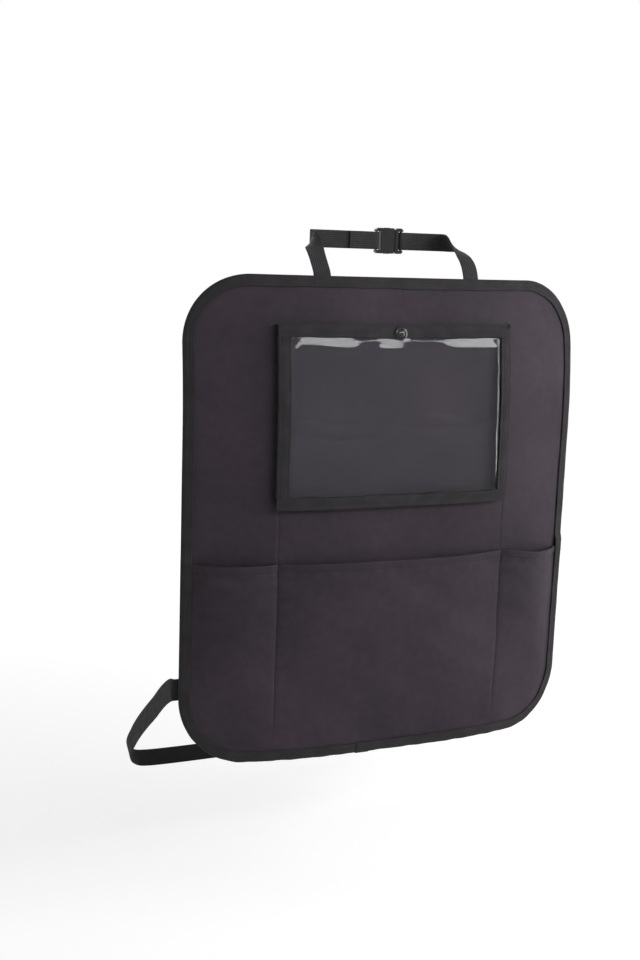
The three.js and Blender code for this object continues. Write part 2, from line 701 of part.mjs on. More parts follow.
// Points run from the panel's side edge forwards and down along the backrest, round its
// front corner and across its foot to the buckle.
function makeSideStrap(side) {
  const slope = Math.tan(SIDE_STRAP_SLOPE * Math.PI / 180);
  const tilt = RUN_TILT * Math.PI / 180;
  const tilted = (angle) => new THREE.Vector3(0, Math.sin(angle), Math.cos(angle));
  const sewn = (inside) => {
    const u = PANEL_HALF - inside;
    const lean = followBend(u, FLAT_HALF_WIDTH, SIDE_RADIUS).angle;
    const outwards = new THREE.Vector3(side * Math.cos(lean), Math.sin(lean), 0);
    return {
      at: seatPoint(side * u, SIDE_STRAP_V + inside * slope, STRAP_N),
      wide: outwards.multiplyScalar(slope).add(Z).normalize(),
    };
  };
  const forward = new THREE.Vector3(0, Math.cos(tilt), -Math.sin(tilt));
  const wide = tilted(tilt);
  const free = sewn(-STRAP_FREE);
  const outsideX = free.at.x + side * SIDE_STRAP_OUT;
  const bendCentre = new THREE.Vector3(outsideX - side * RUN_BEND, RUN_Y, RUN_Z)
    .addScaledVector(forward, -RUN_BEND);
  const bend = [0, 30, 60, 90].map((degrees) => {
    const angle = degrees * Math.PI / 180;
    const at = bendCentre.clone()
      .addScaledVector(X, side * RUN_BEND * Math.cos(angle))
      .addScaledVector(forward, RUN_BEND * Math.sin(angle));
    return { at, wide };
  });
  const barX = SIDE_BUCKLE_X + side * BAR_X;
  const toBuckle = barLoop().map(([outside, off]) => ({
    at: new THREE.Vector3(barX + side * outside, RUN_Y, RUN_Z).addScaledVector(forward, off),
    wide,
  }));
  return strap([
    sewn(SIDE_STRAP_SEWN),
    sewn(SIDE_STRAP_SEWN / 2),
    sewn(0),
    free,
    ...alongRun(SIDE_RUN, free.at, bend[0].at, tilted),
    ...bend,
    ...toBuckle,
  ], SIDE_STRAP_WIDTH, SIDE_STRAP_STEP);
}

// A box between two corners.
function block(low, high) {
  const geometry = new THREE.BoxGeometry(high[0] - low[0], high[1] - low[1], high[2] - low[2]);
  return geometry.translate(
    (low[0] + high[0]) / 2,
    (low[1] + high[1]) / 2,
    (low[2] + high[2]) / 2,
  );
}

// A plate drawn along the buckle's length (x) and width (z), centred on its thickness.
function plate(points, thickness, bevel) {
  const shape = new THREE.Shape(points.map(([x, z]) => new THREE.Vector2(x, z)));
  const geometry = new THREE.ExtrudeGeometry(shape, {
    depth: thickness - 2 * bevel,
    bevelEnabled: bevel > 0,
    bevelThickness: bevel,
    bevelSize: bevel,
    bevelOffset: -bevel,
    bevelSegments: 1,
  });
  geometry.translate(0, 0, -(thickness - 2 * bevel) / 2);
  return geometry.rotateX(Math.PI / 2);
}

// The open end of a buckle half: side arms with a round bar between them.
function openBarEnd(solid, barX, away, webbingWidth) {
  const half = webbingWidth / 2 + 2 * GAP;
  const inner = barX - away * (BUCKLE_BAR_RADIUS + BUCKLE_SLOT);
  const outer = barX + away * (BUCKLE_BAR_RADIUS + 1);
  const gap = block(
    [Math.min(inner, outer), -BUCKLE_THICK, -half],
    [Math.max(inner, outer), BUCKLE_THICK, half],
  );
  const bar = new THREE.CylinderGeometry(BUCKLE_BAR_RADIUS, BUCKLE_BAR_RADIUS, 2 * half + 1, 12);
  bar.rotateX(Math.PI / 2);
  bar.translate(barX, 0, 0);
  return solid.subtract(toSolid(gap)).add(toSolid(bar));
}

function plateOutline(fromX, toX, half) {
  const cut = BUCKLE_ROUND;
  return [
    [fromX + cut, -half], [toX - cut, -half], [toX, -half + cut], [toX, half - cut],
    [toX - cut, half], [fromX + cut, half], [fromX, half - cut], [fromX, -half + cut],
  ];
}

function makeBuckleSocket(webbingWidth) {
  const half = webbingWidth / 2 + BUCKLE_MARGIN;
  const inside = BUCKLE_THICK / 2 - BUCKLE_WALL;
  const backX = MOUTH_X - BUCKLE_CAVITY;
  const body = toSolid(plate(plateOutline(-BUCKLE_HALF, MOUTH_X, half), BUCKLE_THICK, BUCKLE_BEVEL));
  const cavity = block(
    [backX, -inside, -half + BUCKLE_WALL],
    [MOUTH_X + 1, inside, half - BUCKLE_WALL],
  );
  const windows = block(
    [backX + BUCKLE_WINDOW_INSET, -inside, -half - 1],
    [MOUTH_X - BUCKLE_WINDOW_INSET, inside, half + 1],
  );
  const hollow = body.subtract(toSolid(cavity)).subtract(toSolid(windows));
  return toGeometry(openBarEnd(hollow, -BAR_X, -1, webbingWidth));
}

function makeBucklePlug(webbingWidth) {
  const half = webbingWidth / 2 + BUCKLE_MARGIN;
  const inside = half - BUCKLE_WALL - GAP;
  const startX = MOUTH_X + GAP;
  const tipX = MOUTH_X - BUCKLE_CAVITY + GAP;
  const padFrom = tipX + BUCKLE_WINDOW_INSET;
  const padTo = MOUTH_X - BUCKLE_WINDOW_INSET - GAP;
  const base = toSolid(plate(plateOutline(startX, BUCKLE_HALF, half), BUCKLE_THICK, BUCKLE_BEVEL));
  const rootX = startX + 2;
  const arm = (side) => [
    [rootX, side * (inside - BUCKLE_PRONG)],
    [padFrom + 1, side * (inside - BUCKLE_PRONG)],
    [tipX, side * (inside - BUCKLE_PRONG + 1)],
    [tipX, side * (inside - 1.5)],
    [padFrom, side * inside],
    [padFrom, side * (half + GAP)],
    [padTo - 2, side * (half + GAP)],
    [padTo, side * inside],
    [rootX, side * inside],
  ];
  const guide = [
    [rootX, -BUCKLE_PRONG / 2], [rootX, BUCKLE_PRONG / 2],
    [tipX + 1, BUCKLE_PRONG / 2], [tipX, 0], [tipX + 1, -BUCKLE_PRONG / 2],
  ];
  const thickness = BUCKLE_THICK - 2 * (BUCKLE_WALL + GAP);
  let plug = base;
  for (const points of [arm(1), arm(-1).reverse(), guide]) {
    plug = plug.add(toSolid(plate(points, thickness, 0)));
  }
  return toGeometry(openBarEnd(plug, BAR_X, 1, webbingWidth));
}

// Places a buckle: its length stays across the car, its thickness lies along "forward".
function placeBuckle(geometry, x, y, z, forward) {
  const wide = X.clone().cross(forward);
  const matrix = new THREE.Matrix4().makeBasis(X, forward, wide).setPosition(x, y, z);
  return geometry.applyMatrix4(matrix);
}

function topBuckle(geometry) {
  const runY = POST_Y + POST_RADIUS + GAP + STRAP_THICK / 2;
  return placeBuckle(geometry, TOP_BUCKLE_X, runY, POST_Z, new THREE.Vector3(0, 1, 0));
}

function sideBuckle(geometry) {
  const tilt = RUN_TILT * Math.PI / 180;
  const forward = new THREE.Vector3(0, Math.cos(tilt), -Math.sin(tilt));
  return placeBuckle(geometry, SIDE_BUCKLE_X, RUN_Y, RUN_Z, forward);
}

const modelParts = [
  ['back_panel', makeBackPanel(), cloth],
  ['edge_binding', makeEdgeBinding(), tape],
  ['lower_pocket', makeLowerPocket(), cloth],
  ['tablet_gusset', makeGusset(), tape],
  ['window_film', makeWindowFilm(), film],
  ['window_tape_top', makeTopTape(), tape],
  ['window_tape_bottom', makeBottomTape(), tape],
  ['window_tape_left', makeSideTape(-1), tape],
  ['window_tape_right', makeSideTape(1), tape],
  ['snap_cap', makeSnapCap(), hardPlastic],
  ['snap_socket', makeSnapSocket(), hardPlastic],
  ['snap_stud', makeSnapStud(), hardPlastic],
  ['snap_back_cap', makeSnapBackCap(), hardPlastic],
  ['top_strap_left', makeTopStrap(-1), webbing],
  ['top_strap_right', makeTopStrap(1), webbing],
  ['top_buckle_socket', topBuckle(makeBuckleSocket(TOP_STRAP_WIDTH)), hardPlastic],
  ['top_buckle_plug', topBuckle(makeBucklePlug(TOP_STRAP_WIDTH)), hardPlastic],
  ['side_strap_left', makeSideStrap(-1), webbing],
  ['side_strap_right', makeSideStrap(1), webbing],
  ['side_buckle_socket', sideBuckle(makeBuckleSocket(SIDE_STRAP_WIDTH)), hardPlastic],
  ['side_buckle_plug', sideBuckle(makeBucklePlug(SIDE_STRAP_WIDTH)), hardPlastic],
];

const model = new THREE.Group();
for (const [name, geometry, material] of modelParts) {
  const mesh = new THREE.Mesh(geometry, material);
  mesh.name = name;
  model.add(mesh);
}
model.position.set(0, -POST_Y, -POST_Z);

export default model;
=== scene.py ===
# %% [markdown]
# # A seat back protector
#
# The object is a cloth panel that hangs on the back of a car's front seat. It carries a
# wide pocket of clear film, one sheet of cloth that makes three lower pockets, and straps
# with buckles. The solid model is loaded first and fixes every size. Each soft piece is
# then modelled again with its folds, ribs and seams, in the same place.

import math

import bpy
import numpy as np
from mathutils import Matrix, Vector


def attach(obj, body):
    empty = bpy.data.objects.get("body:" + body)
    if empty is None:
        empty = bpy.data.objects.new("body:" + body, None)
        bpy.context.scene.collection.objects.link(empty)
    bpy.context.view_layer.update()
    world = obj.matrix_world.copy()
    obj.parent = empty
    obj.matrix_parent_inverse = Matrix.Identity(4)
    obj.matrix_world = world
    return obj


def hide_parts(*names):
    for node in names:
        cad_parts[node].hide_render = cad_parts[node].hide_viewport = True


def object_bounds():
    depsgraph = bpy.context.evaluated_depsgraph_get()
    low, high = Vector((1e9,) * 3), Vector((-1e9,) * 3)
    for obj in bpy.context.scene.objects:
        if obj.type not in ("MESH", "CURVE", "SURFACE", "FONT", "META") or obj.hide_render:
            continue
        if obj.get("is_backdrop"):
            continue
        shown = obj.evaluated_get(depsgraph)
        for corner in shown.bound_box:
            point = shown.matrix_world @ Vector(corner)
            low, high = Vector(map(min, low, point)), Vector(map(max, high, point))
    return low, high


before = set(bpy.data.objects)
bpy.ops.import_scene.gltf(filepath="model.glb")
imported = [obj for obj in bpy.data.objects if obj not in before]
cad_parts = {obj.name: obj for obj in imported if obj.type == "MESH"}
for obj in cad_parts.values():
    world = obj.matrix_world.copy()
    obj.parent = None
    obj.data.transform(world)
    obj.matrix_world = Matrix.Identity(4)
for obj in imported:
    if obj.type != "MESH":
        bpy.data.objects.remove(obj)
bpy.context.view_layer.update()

# %% [markdown]
# ## The seat's back as a surface
#
# On the car, the panel takes the shape of the backrest: flat in the middle and round
# towards its sides, its top and its foot. The cloth is cut flat, so each piece is easiest
# to draw as a flat pattern, u across, v up from the bottom edge and n out of the cloth,
# and to lay on the seat afterwards. A lattice could bend the finished meshes too, but one
# function that does the laying for all pieces is exact, and keeps them on each other
# wherever the seat bends.

# %% Sizes of the flat pattern, in metres
MM = 0.001
GAP = 0.3 * MM
PANEL_WIDTH, PANEL_HEIGHT, PANEL_CORNER = 0.492, 0.5435, 0.075
PANEL_THICK, TAPE_THICK, FILM_THICK = 1.8 * MM, 0.8 * MM, 0.5 * MM
FLAT_HALF_WIDTH, SIDE_RADIUS = 0.060, 0.490
FLAT_ABOVE, TOP_RADIUS = 0.100, 0.770
FLAT_BELOW, BOTTOM_RADIUS = 0.200, 0.530
POST_X, POST_Y, POST_RADIUS = 0.076, 0.082, 0.006
POST_Z = PANEL_HEIGHT / 2 + 0.03975
HALF_WIDTH = PANEL_WIDTH / 2
POCKET_HEIGHT, DIVIDER_U = 0.2295, 0.141
WINDOW_CENTRE, WINDOW_HALF = -0.006, 0.1405
WINDOW_BELOW_TOP, WINDOW_HEIGHT = 0.0525, 0.199
WINDOW_TOP = PANEL_HEIGHT - WINDOW_BELOW_TOP
WINDOW_LEFT, WINDOW_RIGHT = WINDOW_CENTRE - WINDOW_HALF, WINDOW_CENTRE + WINDOW_HALF
WINDOW_BOTTOM = WINDOW_TOP - WINDOW_HEIGHT
GUSSET_FLARE = 2 * MM
print("pattern", PANEL_WIDTH, "x", PANEL_HEIGHT)


def bend(distance, flat, radius):
    """Straight for a while, then a round bend: (place along it, depth, angle)."""
    angle = np.maximum(distance - flat, 0) / radius
    along = np.minimum(distance, flat) + radius * np.sin(angle)
    return along, radius * (1 - np.cos(angle)), angle


def on_seat(u, v, n):
    """Points of the flat pattern, laid on the seat's back."""
    u, v, n = (np.asarray(a, float) for a in np.broadcast_arrays(u, v, n))
    height = v - PANEL_HEIGHT / 2
    above = height > 0
    x, depth_x, lean_x = bend(np.abs(u), FLAT_HALF_WIDTH, SIDE_RADIUS)
    z, depth_z, lean_z = bend(
        np.abs(height),
        np.where(above, FLAT_ABOVE, FLAT_BELOW),
        np.where(above, TOP_RADIUS, BOTTOM_RADIUS),
    )
    side, rise = np.sign(u), np.sign(height)
    across = np.stack([np.cos(lean_x), np.sin(lean_x) * side, 0 * u], -1)
    upwards = np.stack([0 * u, np.sin(lean_z) * rise, np.cos(lean_z)], -1)
    normal = np.cross(across, upwards)
    normal /= np.linalg.norm(normal, axis=-1, keepdims=True)
    points = np.stack([side * x, depth_x + depth_z - POST_Y, rise * z - POST_Z], -1)
    return points + normal * n[..., None]


# %% [markdown]
# ## Camera, floor and light
#
# The camera stands a little left of the panel and a little above its middle, turned by
# two degrees. The light is plain and soft. Its broadest lamp stands at the right, which is
# what makes the cloth paler towards that side. A long narrow one in front is mirrored as a
# white band under the film's top tape. The floor and the backdrop are white only where
# they are seen, so that they add little light to the cloth.

# %% Camera
CAMERA_PLACE = (-0.64806, -1.37198, -0.00430)
CAMERA_BACK, CAMERA_ROLL, LENS = (-0.3868, -0.9045, 0.1795), 0.03507, 48.83
camera_data = bpy.data.cameras.new("camera")
camera = bpy.data.objects.new("camera", camera_data)
scene = bpy.context.scene
scene.collection.objects.link(camera)
back = Vector(CAMERA_BACK).normalized()
right = (-back).cross(Vector((0, 0, 1))).normalized()
up = right.cross(-back)
turned_right = math.cos(CAMERA_ROLL) * right + math.sin(CAMERA_ROLL) * up
turned_up = math.cos(CAMERA_ROLL) * up - math.sin(CAMERA_ROLL) * right
place = Matrix((turned_right, turned_up, back)).transposed().to_4x4()
place.translation = Vector(CAMERA_PLACE)
camera.matrix_world = place
camera_data.sensor_width = 36
camera_data.lens = LENS
scene.camera = camera
print("camera lens", camera_data.lens)


# %% Helpers for node trees
def set_inputs(tree, node, values):
    """Gives a node's sockets a value each, or joins them to outputs of other nodes."""
    for title, value in values.items():
        if isinstance(value, bpy.types.NodeSocket):
            tree.links.new(value, node.inputs[title])
        else:
            node.inputs[title].default_value = value


def add_node(tree, kind, inputs=None, result=0, **settings):
    """Adds a node with its settings and inputs, and gives back one of its outputs."""
    node = tree.nodes.new("ShaderNode" + kind)
    for title, value in settings.items():
        setattr(node, title, value)
    set_inputs(tree, node, inputs or {})
    return node.outputs[result]


def seen_or_mirrored(tree):
    """One for what the camera sees, also in a mirror or through film, and else zero."""
    path = tree.nodes.new("ShaderNodeLightPath").outputs
    seen = add_node(tree, "Math", {0: path["Is Camera Ray"], 1: path["Is Transmission Ray"]}, operation="MAXIMUM")
    return add_node(tree, "Math", {0: seen, 1: path["Is Glossy Ray"]}, operation="MAXIMUM")


# %% Colour management and backdrop: white where it is seen, and a third of that as light
BACKDROP_LIGHT = 0.30
scene.view_settings.view_transform = "Standard"
world = bpy.data.worlds.new("studio")
scene.world = world
world.use_nodes = True
tree = world.node_tree
tree.nodes.clear()
strength = add_node(tree, "MapRange", {"Value": seen_or_mirrored(tree), "To Min": BACKDROP_LIGHT, "To Max": 1.0})
light = add_node(tree, "Background", {"Color": (1, 1, 1, 1), "Strength": strength})
tree.links.new(light, tree.nodes.new("ShaderNodeOutputWorld").inputs["Surface"])
print("backdrop", world.name, BACKDROP_LIGHT)

# %% Lamps: place, the point it aims at, size in metres, power in watts
LAMPS = {
    "window_right": ((1.66, -0.95, 0.10), (0.1, 0, -0.32), (0.6, 1.4), 21),
    "window_front": ((0.74, -1.80, 0.62), (0, -0.1, -0.1), (1.8, 0.20), 17),
    "fill_left": ((-1.6, -1.6, 0.2), (0, 0, -0.3), (1.2, 1.2), 1.5),
    "top": ((0.2, -0.5, 1.5), (0, 0, -0.2), (1.2, 0.6), 1),
    "behind": ((0.4, 1.9, 0.6), (0, 0, -0.3), (1.6, 1.2), 12),
}
for name, (place, aim, size, power) in LAMPS.items():
    lamp_data = bpy.data.lights.new(name, "AREA")
    lamp_data.shape = "RECTANGLE"
    lamp_data.size, lamp_data.size_y = size
    lamp_data.energy = power
    lamp = bpy.data.objects.new(name, lamp_data)
    scene.collection.objects.link(lamp)
    turn = (Vector(aim) - Vector(place)).to_track_quat("-Z", "Y").to_matrix().to_4x4()
    lamp.matrix_world = Matrix.Translation(place) @ turn
print("lamps", list(LAMPS))

# %% Floor: it glows a little, more with the distance, and so fades into the backdrop
FLOOR_Z, FLOOR_SIZE, FLOOR_GREY = -0.80, 12, 0.66
GLOW_NEAR, GLOW_FAR, FADE_START, FADE_END = 0.52, 0.80, 0.3, 3.2
bpy.ops.object.select_all(action="DESELECT")
bpy.ops.mesh.primitive_grid_add(x_subdivisions=2, y_subdivisions=2, size=FLOOR_SIZE, location=(0, 0, FLOOR_Z))
floor = bpy.context.object
floor.name = "floor"
floor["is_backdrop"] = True
floor_look = bpy.data.materials.new("pale_floor")
floor_look.use_nodes = True
tree = floor_look.node_tree
far = add_node(tree, "VectorMath", {0: add_node(tree, "TexCoord", result="Object")}, "Value", operation="LENGTH")
fade = {"Value": far, "From Min": FADE_START, "From Max": FADE_END, "To Min": GLOW_NEAR, "To Max": GLOW_FAR}
white = add_node(tree, "MapRange", fade, interpolation_type="SMOOTHSTEP")
glow = add_node(tree, "Math", {0: seen_or_mirrored(tree), 1: white}, operation="MULTIPLY")
set_inputs(tree, tree.nodes["Principled BSDF"], {
    "Base Color": (FLOOR_GREY, FLOOR_GREY, FLOOR_GREY, 1), "Roughness": 0.9, "Specular IOR Level": 0.1,
    "Emission Color": (1, 1, 1, 1), "Emission Strength": glow,
})
floor.data.materials.append(floor_look)
print("floor at", FLOOR_Z)

# %% [markdown]
# ## Shared effects
#
# Five surface effects come back in several finishes, so each is a node group: a fine
# plain weave, the ribs of binding tape, painted shade in the grooves of a strap, soft
# cloudy shade as on handled cloth, and lint. They read the UV map, which every soft piece
# stores in metres along and across its own pattern, so that a thread has the same size
# everywhere and follows the cloth's bends. A picture of the cloth would show its pixels up
# close, while a group has none and takes new values for each finish.


# %% A helper for node groups
class Group:
    """A shader node group under construction: it reads the pattern and gives one value."""

    def __init__(self, name, result, **inputs):
        self.tree = bpy.data.node_groups.new(name, "ShaderNodeTree")
        sockets = self.tree.interface
        sockets.new_socket("Pattern", in_out="INPUT", socket_type="NodeSocketVector")
        for title, value in inputs.items():
            sockets.new_socket(title, in_out="INPUT", socket_type="NodeSocketFloat").default_value = value
        sockets.new_socket(result, in_out="OUTPUT", socket_type="NodeSocketFloat")
        self.inside = self.tree.nodes.new("NodeGroupInput").outputs
        self.outside = self.tree.nodes.new("NodeGroupOutput").inputs

    def math(self, operation, *values):
        return add_node(self.tree, "Math", dict(enumerate(values)), operation=operation)

    def times(self, first, second):
        return self.math("MULTIPLY", first, second)

    def plus(self, first, second):
        return self.math("ADD", first, second)

    def minus(self, first, second):
        return self.math("SUBTRACT", first, second)

    def arches(self, value):
        """A row of round arches, one for each whole step of a value."""
        return self.math("ABSOLUTE", self.math("SINE", self.times(value, math.pi)))

    def axes(self):
        node = self.tree.nodes.new("ShaderNodeSeparateXYZ")
        self.tree.links.new(self.inside["Pattern"], node.inputs[0])
        return node.outputs[0], node.outputs[1]

    def noise(self, scale, detail):
        sockets = {"Vector": self.inside["Pattern"], "Scale": scale, "Detail": detail}
        return add_node(self.tree, "TexNoise", sockets, "Fac")

    def give(self, value):
        self.tree.links.new(value, self.outside[0])
        print("group", self.tree.name, "gives", self.outside[0].name)


# %% Plain weave: threads that go over and under each other
weave = Group("plain_weave", "Height", Threads=1800.0)
along, across = weave.axes()
warp = weave.times(along, weave.inside["Threads"])
weft = weave.times(across, weave.inside["Threads"])
cells = weave.plus(weave.math("FLOOR", warp), weave.math("FLOOR", weft))
parity = weave.math("FLOORED_MODULO", cells, 2.0)
over = weave.times(parity, weave.arches(warp))
under = weave.times(weave.minus(1.0, parity), weave.arches(weft))
weave.give(weave.plus(over, under))

# %% Ribs of tape and webbing, with the small steps of the threads that cross them
CROSSING_THREADS = 0.35
ribs = Group("tape_ribs", "Height", Ribs=900.0, Threads=2400.0, Fray=0.25)
along, across = ribs.axes()
rib = ribs.arches(ribs.times(along, ribs.inside["Ribs"]))
thread = ribs.times(ribs.arches(ribs.times(across, ribs.inside["Threads"])), CROSSING_THREADS)
fray = ribs.times(ribs.noise(900.0, 3.0), ribs.inside["Fray"])
ribs.give(ribs.plus(ribs.plus(rib, thread), fray))

# %% Painted shade along a strap: its colour is darker in the grooves between its ribs, where less light falls
groove_shade = Group("strap_groove_shade", "Factor", Pitch=0.0025, Depth=0.5)
across = groove_shade.axes()[1]
crown = groove_shade.math("POWER", groove_shade.arches(groove_shade.math("DIVIDE", across, groove_shade.inside["Pitch"])), 0.8)
uneven = groove_shade.times(groove_shade.minus(groove_shade.noise(260.0, 2.0), 0.5), 0.5)
lit = groove_shade.times(groove_shade.plus(crown, uneven), groove_shade.inside["Depth"])
groove_shade.give(groove_shade.plus(groove_shade.minus(1.0, groove_shade.inside["Depth"]), lit))

# %% Cloudy shade: cloth that was folded and handled is never one even tone
cloud = Group("cloudy_shade", "Factor", Size=9.0, Low=0.85, High=1.15)
broad = cloud.times(cloud.noise(cloud.inside["Size"], 3.0), 0.75)
fine = cloud.times(cloud.noise(cloud.times(cloud.inside["Size"], 14.0), 2.0), 0.25)
spread = cloud.times(cloud.minus(cloud.plus(broad, fine), 0.3), 2.5)
span = cloud.minus(cloud.inside["High"], cloud.inside["Low"])
cloud.give(cloud.plus(cloud.inside["Low"], cloud.times(spread, span)))

# %% Lint: few, small pale specks that dark cloth always picks up
SPECK_LIMIT = 0.83
lint = Group("lint", "Mask", Amount=0.5)
where_dusty = lint.times(lint.noise(24.0, 2.0), 0.10)
specks = lint.math("GREATER_THAN", lint.plus(lint.noise(1300.0, 1.0), where_dusty), SPECK_LIMIT)
lint.give(lint.times(specks, lint.inside["Amount"]))

# %% [markdown]
# ## Finishes
#
# The panel and the pockets are a smooth coated polyester cloth, charcoal with a trace of
# violet, satin rather than matte. Binding tape is a ribbed weave and duller. The straps
# are webbing with ribs along their length. Thread, film and moulded plastic follow. Each
# finish is one Principled shader, with its grain fed in as a bump height.


# %% A helper for the soft finishes
def new_finish(name):
    """A material, its node tree and its Principled shader."""
    look = bpy.data.materials.new(name)
    look.use_nodes = True
    print("finish", name)
    return look, look.node_tree, look.node_tree.nodes["Principled BSDF"]


def soft_finish(
    name, colour, roughness, sheen, specular, grain, values, bump, shade=(0.86, 1.14), size=9.0, painted_groove_shade=None
):
    """Cloth, tape or thread: a grain group with its values, and a bump's strength and depth."""
    look, tree, shader = new_finish(name)
    pattern = add_node(tree, "UVMap", uv_map="pattern")

    def effect(group, **settings):
        return add_node(tree, "Group", {"Pattern": pattern, **settings}, node_tree=group.tree)

    patchy = effect(cloud, Size=size, Low=shade[0], High=shade[1])
    tone = add_node(tree, "VectorMath", {0: colour, "Scale": patchy}, operation="SCALE")
    # Painted shade: a strap's colour is darker in the grooves between its ribs.
    if painted_groove_shade:
        shaded_grooves = effect(groove_shade, Pitch=painted_groove_shade[0], Depth=painted_groove_shade[1])
        tone = add_node(tree, "VectorMath", {0: tone, "Scale": shaded_grooves}, operation="SCALE")
    dusty = {"Factor": effect(lint, Amount=0.35), "A": tone, "B": (0.30, 0.29, 0.28, 1)}
    worn = effect(cloud, Size=size * 1.7, Low=0.88, High=1.12)
    relief = {"Strength": bump[0], "Distance": bump[1], "Height": effect(grain, **values)}
    set_inputs(tree, shader, {
        "Sheen Weight": sheen, "Sheen Roughness": 0.4, "Specular IOR Level": specular,
        "Base Color": add_node(tree, "Mix", dusty, "Result", data_type="RGBA"),
        "Roughness": add_node(tree, "Math", {0: worn, 1: roughness}, operation="MULTIPLY"),
        "Normal": add_node(tree, "Bump", relief),
    })
    return look


# %% Cloth, tape, webbing and thread
CLOTH = soft_finish(
    "charcoal_cloth", (0.0392, 0.0308, 0.0390), 0.58, 0.02, 0.10,
    weave, {"Threads": 1700.0}, (0.22, 0.0002), shade=(0.68, 1.32), size=7.0,
)
TAPE = soft_finish(
    "binding_tape", (0.027, 0.025, 0.027), 0.74, 0.05, 0.14,
    ribs, {"Ribs": 900.0, "Threads": 2600.0}, (0.35, 0.0003), shade=(0.75, 1.25), size=45.0,
)
WEBBING = soft_finish(
    "strap_webbing", (0.036, 0.034, 0.037), 0.66, 0.05, 0.16,
    ribs, {"Ribs": 1700.0, "Threads": 400.0}, (0.3, 0.0002), size=40.0, painted_groove_shade=(0.0025, 0.68),
)
# The gusset's finish has about half the binding tape's colour: painted shade for the wall that stands in the clear
# pocket's shadow.
GUSSET_PAINTED_SHADE = soft_finish(
    "gusset_cloth_painted_shade", (0.013, 0.012, 0.013), 0.8, 0.03, 0.10,
    weave, {"Threads": 1500.0}, (0.3, 0.0002), size=30.0,
)
ELASTIC = soft_finish(
    "elastic_webbing", (0.019, 0.018, 0.0195), 0.72, 0.03, 0.12,
    ribs, {"Ribs": 500.0, "Threads": 900.0}, (0.45, 0.0003), size=60.0, painted_groove_shade=(0.0022, 0.5),
)
THREAD = soft_finish(
    "sewing_thread", (0.027, 0.025, 0.027), 0.6, 0.05, 0.20,
    ribs, {"Ribs": 1600.0, "Threads": 1600.0}, (0.3, 0.0001), size=60.0,
)

# %% Moulded plastic: fine spark texture, duller and paler where it was handled
PLASTIC, tree, shader = new_finish("moulded_plastic")
where = add_node(tree, "TexCoord", result="Object")
grain = add_node(tree, "TexNoise", {"Scale": 2600, "Vector": where}, "Fac")
smear = add_node(tree, "TexNoise", {"Scale": 120, "Vector": where}, "Fac")
handled = {"Factor": smear, "A": (0.003, 0.003, 0.0035, 1), "B": (0.009, 0.009, 0.010, 1)}
set_inputs(tree, shader, {
    "Specular IOR Level": 0.38,
    "Base Color": add_node(tree, "Mix", handled, "Result", data_type="RGBA"),
    "Roughness": add_node(tree, "MapRange", {"Value": smear, "To Min": 0.06, "To Max": 0.22}),
    "Normal": add_node(tree, "Bump", {"Strength": 0.12, "Distance": 0.0002, "Height": grain}),
})

# %% Clear film: soft vinyl, glossy, with a faint haze and shallow waves
FILM, tree, shader = new_finish("clear_film")
pattern = add_node(tree, "UVMap", uv_map="pattern")
swell = add_node(tree, "TexNoise", {"Scale": 22, "Detail": 1.5, "Vector": pattern}, "Fac")
haze = add_node(tree, "TexNoise", {"Scale": 45, "Detail": 5, "Vector": pattern}, "Fac")
tint = {"Factor": haze, "A": (0.88, 0.89, 0.91, 1), "B": (0.80, 0.82, 0.85, 1)}
set_inputs(tree, shader, {
    "Transmission Weight": 1.0, "IOR": 1.25,
    "Base Color": add_node(tree, "Mix", tint, "Result", data_type="RGBA"),
    "Roughness": add_node(tree, "MapRange", {"Value": haze, "To Min": 0.01, "To Max": 0.07}),
    "Normal": add_node(tree, "Bump", {"Strength": 0.2, "Distance": 0.003, "Height": swell}),
})

# %% [markdown]
# ## Skinning a strip
#
# Cloth, tape, film and straps are all long closed strips: a section that is carried
# along a line. By hand one would extrude a section again and again and move each ring.
# Here a grid primitive gives all the faces at once, its rows are the rings, and each ring
# is moved to its place. The open seam is then merged, the ends are filled, and the UV map
# keeps metres along and across, for the weave.


# %% A helper that settles a finished piece
def settle(obj, name, look, stands_for=(), angle=50):
    """Names a finished piece, gives it its finish, and fixes it to the model."""
    obj.name = name
    obj.data.name = name
    obj.data.materials.clear()
    obj.data.materials.append(look)
    bpy.ops.object.select_all(action="DESELECT")
    obj.select_set(True)
    bpy.context.view_layer.objects.active = obj
    bpy.ops.object.shade_smooth_by_angle(angle=math.radians(angle))
    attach(obj, "root")
    if stands_for:
        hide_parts(*stands_for)
    print(name, len(obj.data.polygons), "faces")
    return obj


# %% The strip helper
def run_of(points):
    """Distance along a line at each of its points."""
    return np.concatenate([[0], np.cumsum(np.linalg.norm(np.diff(points, axis=0), axis=1))])


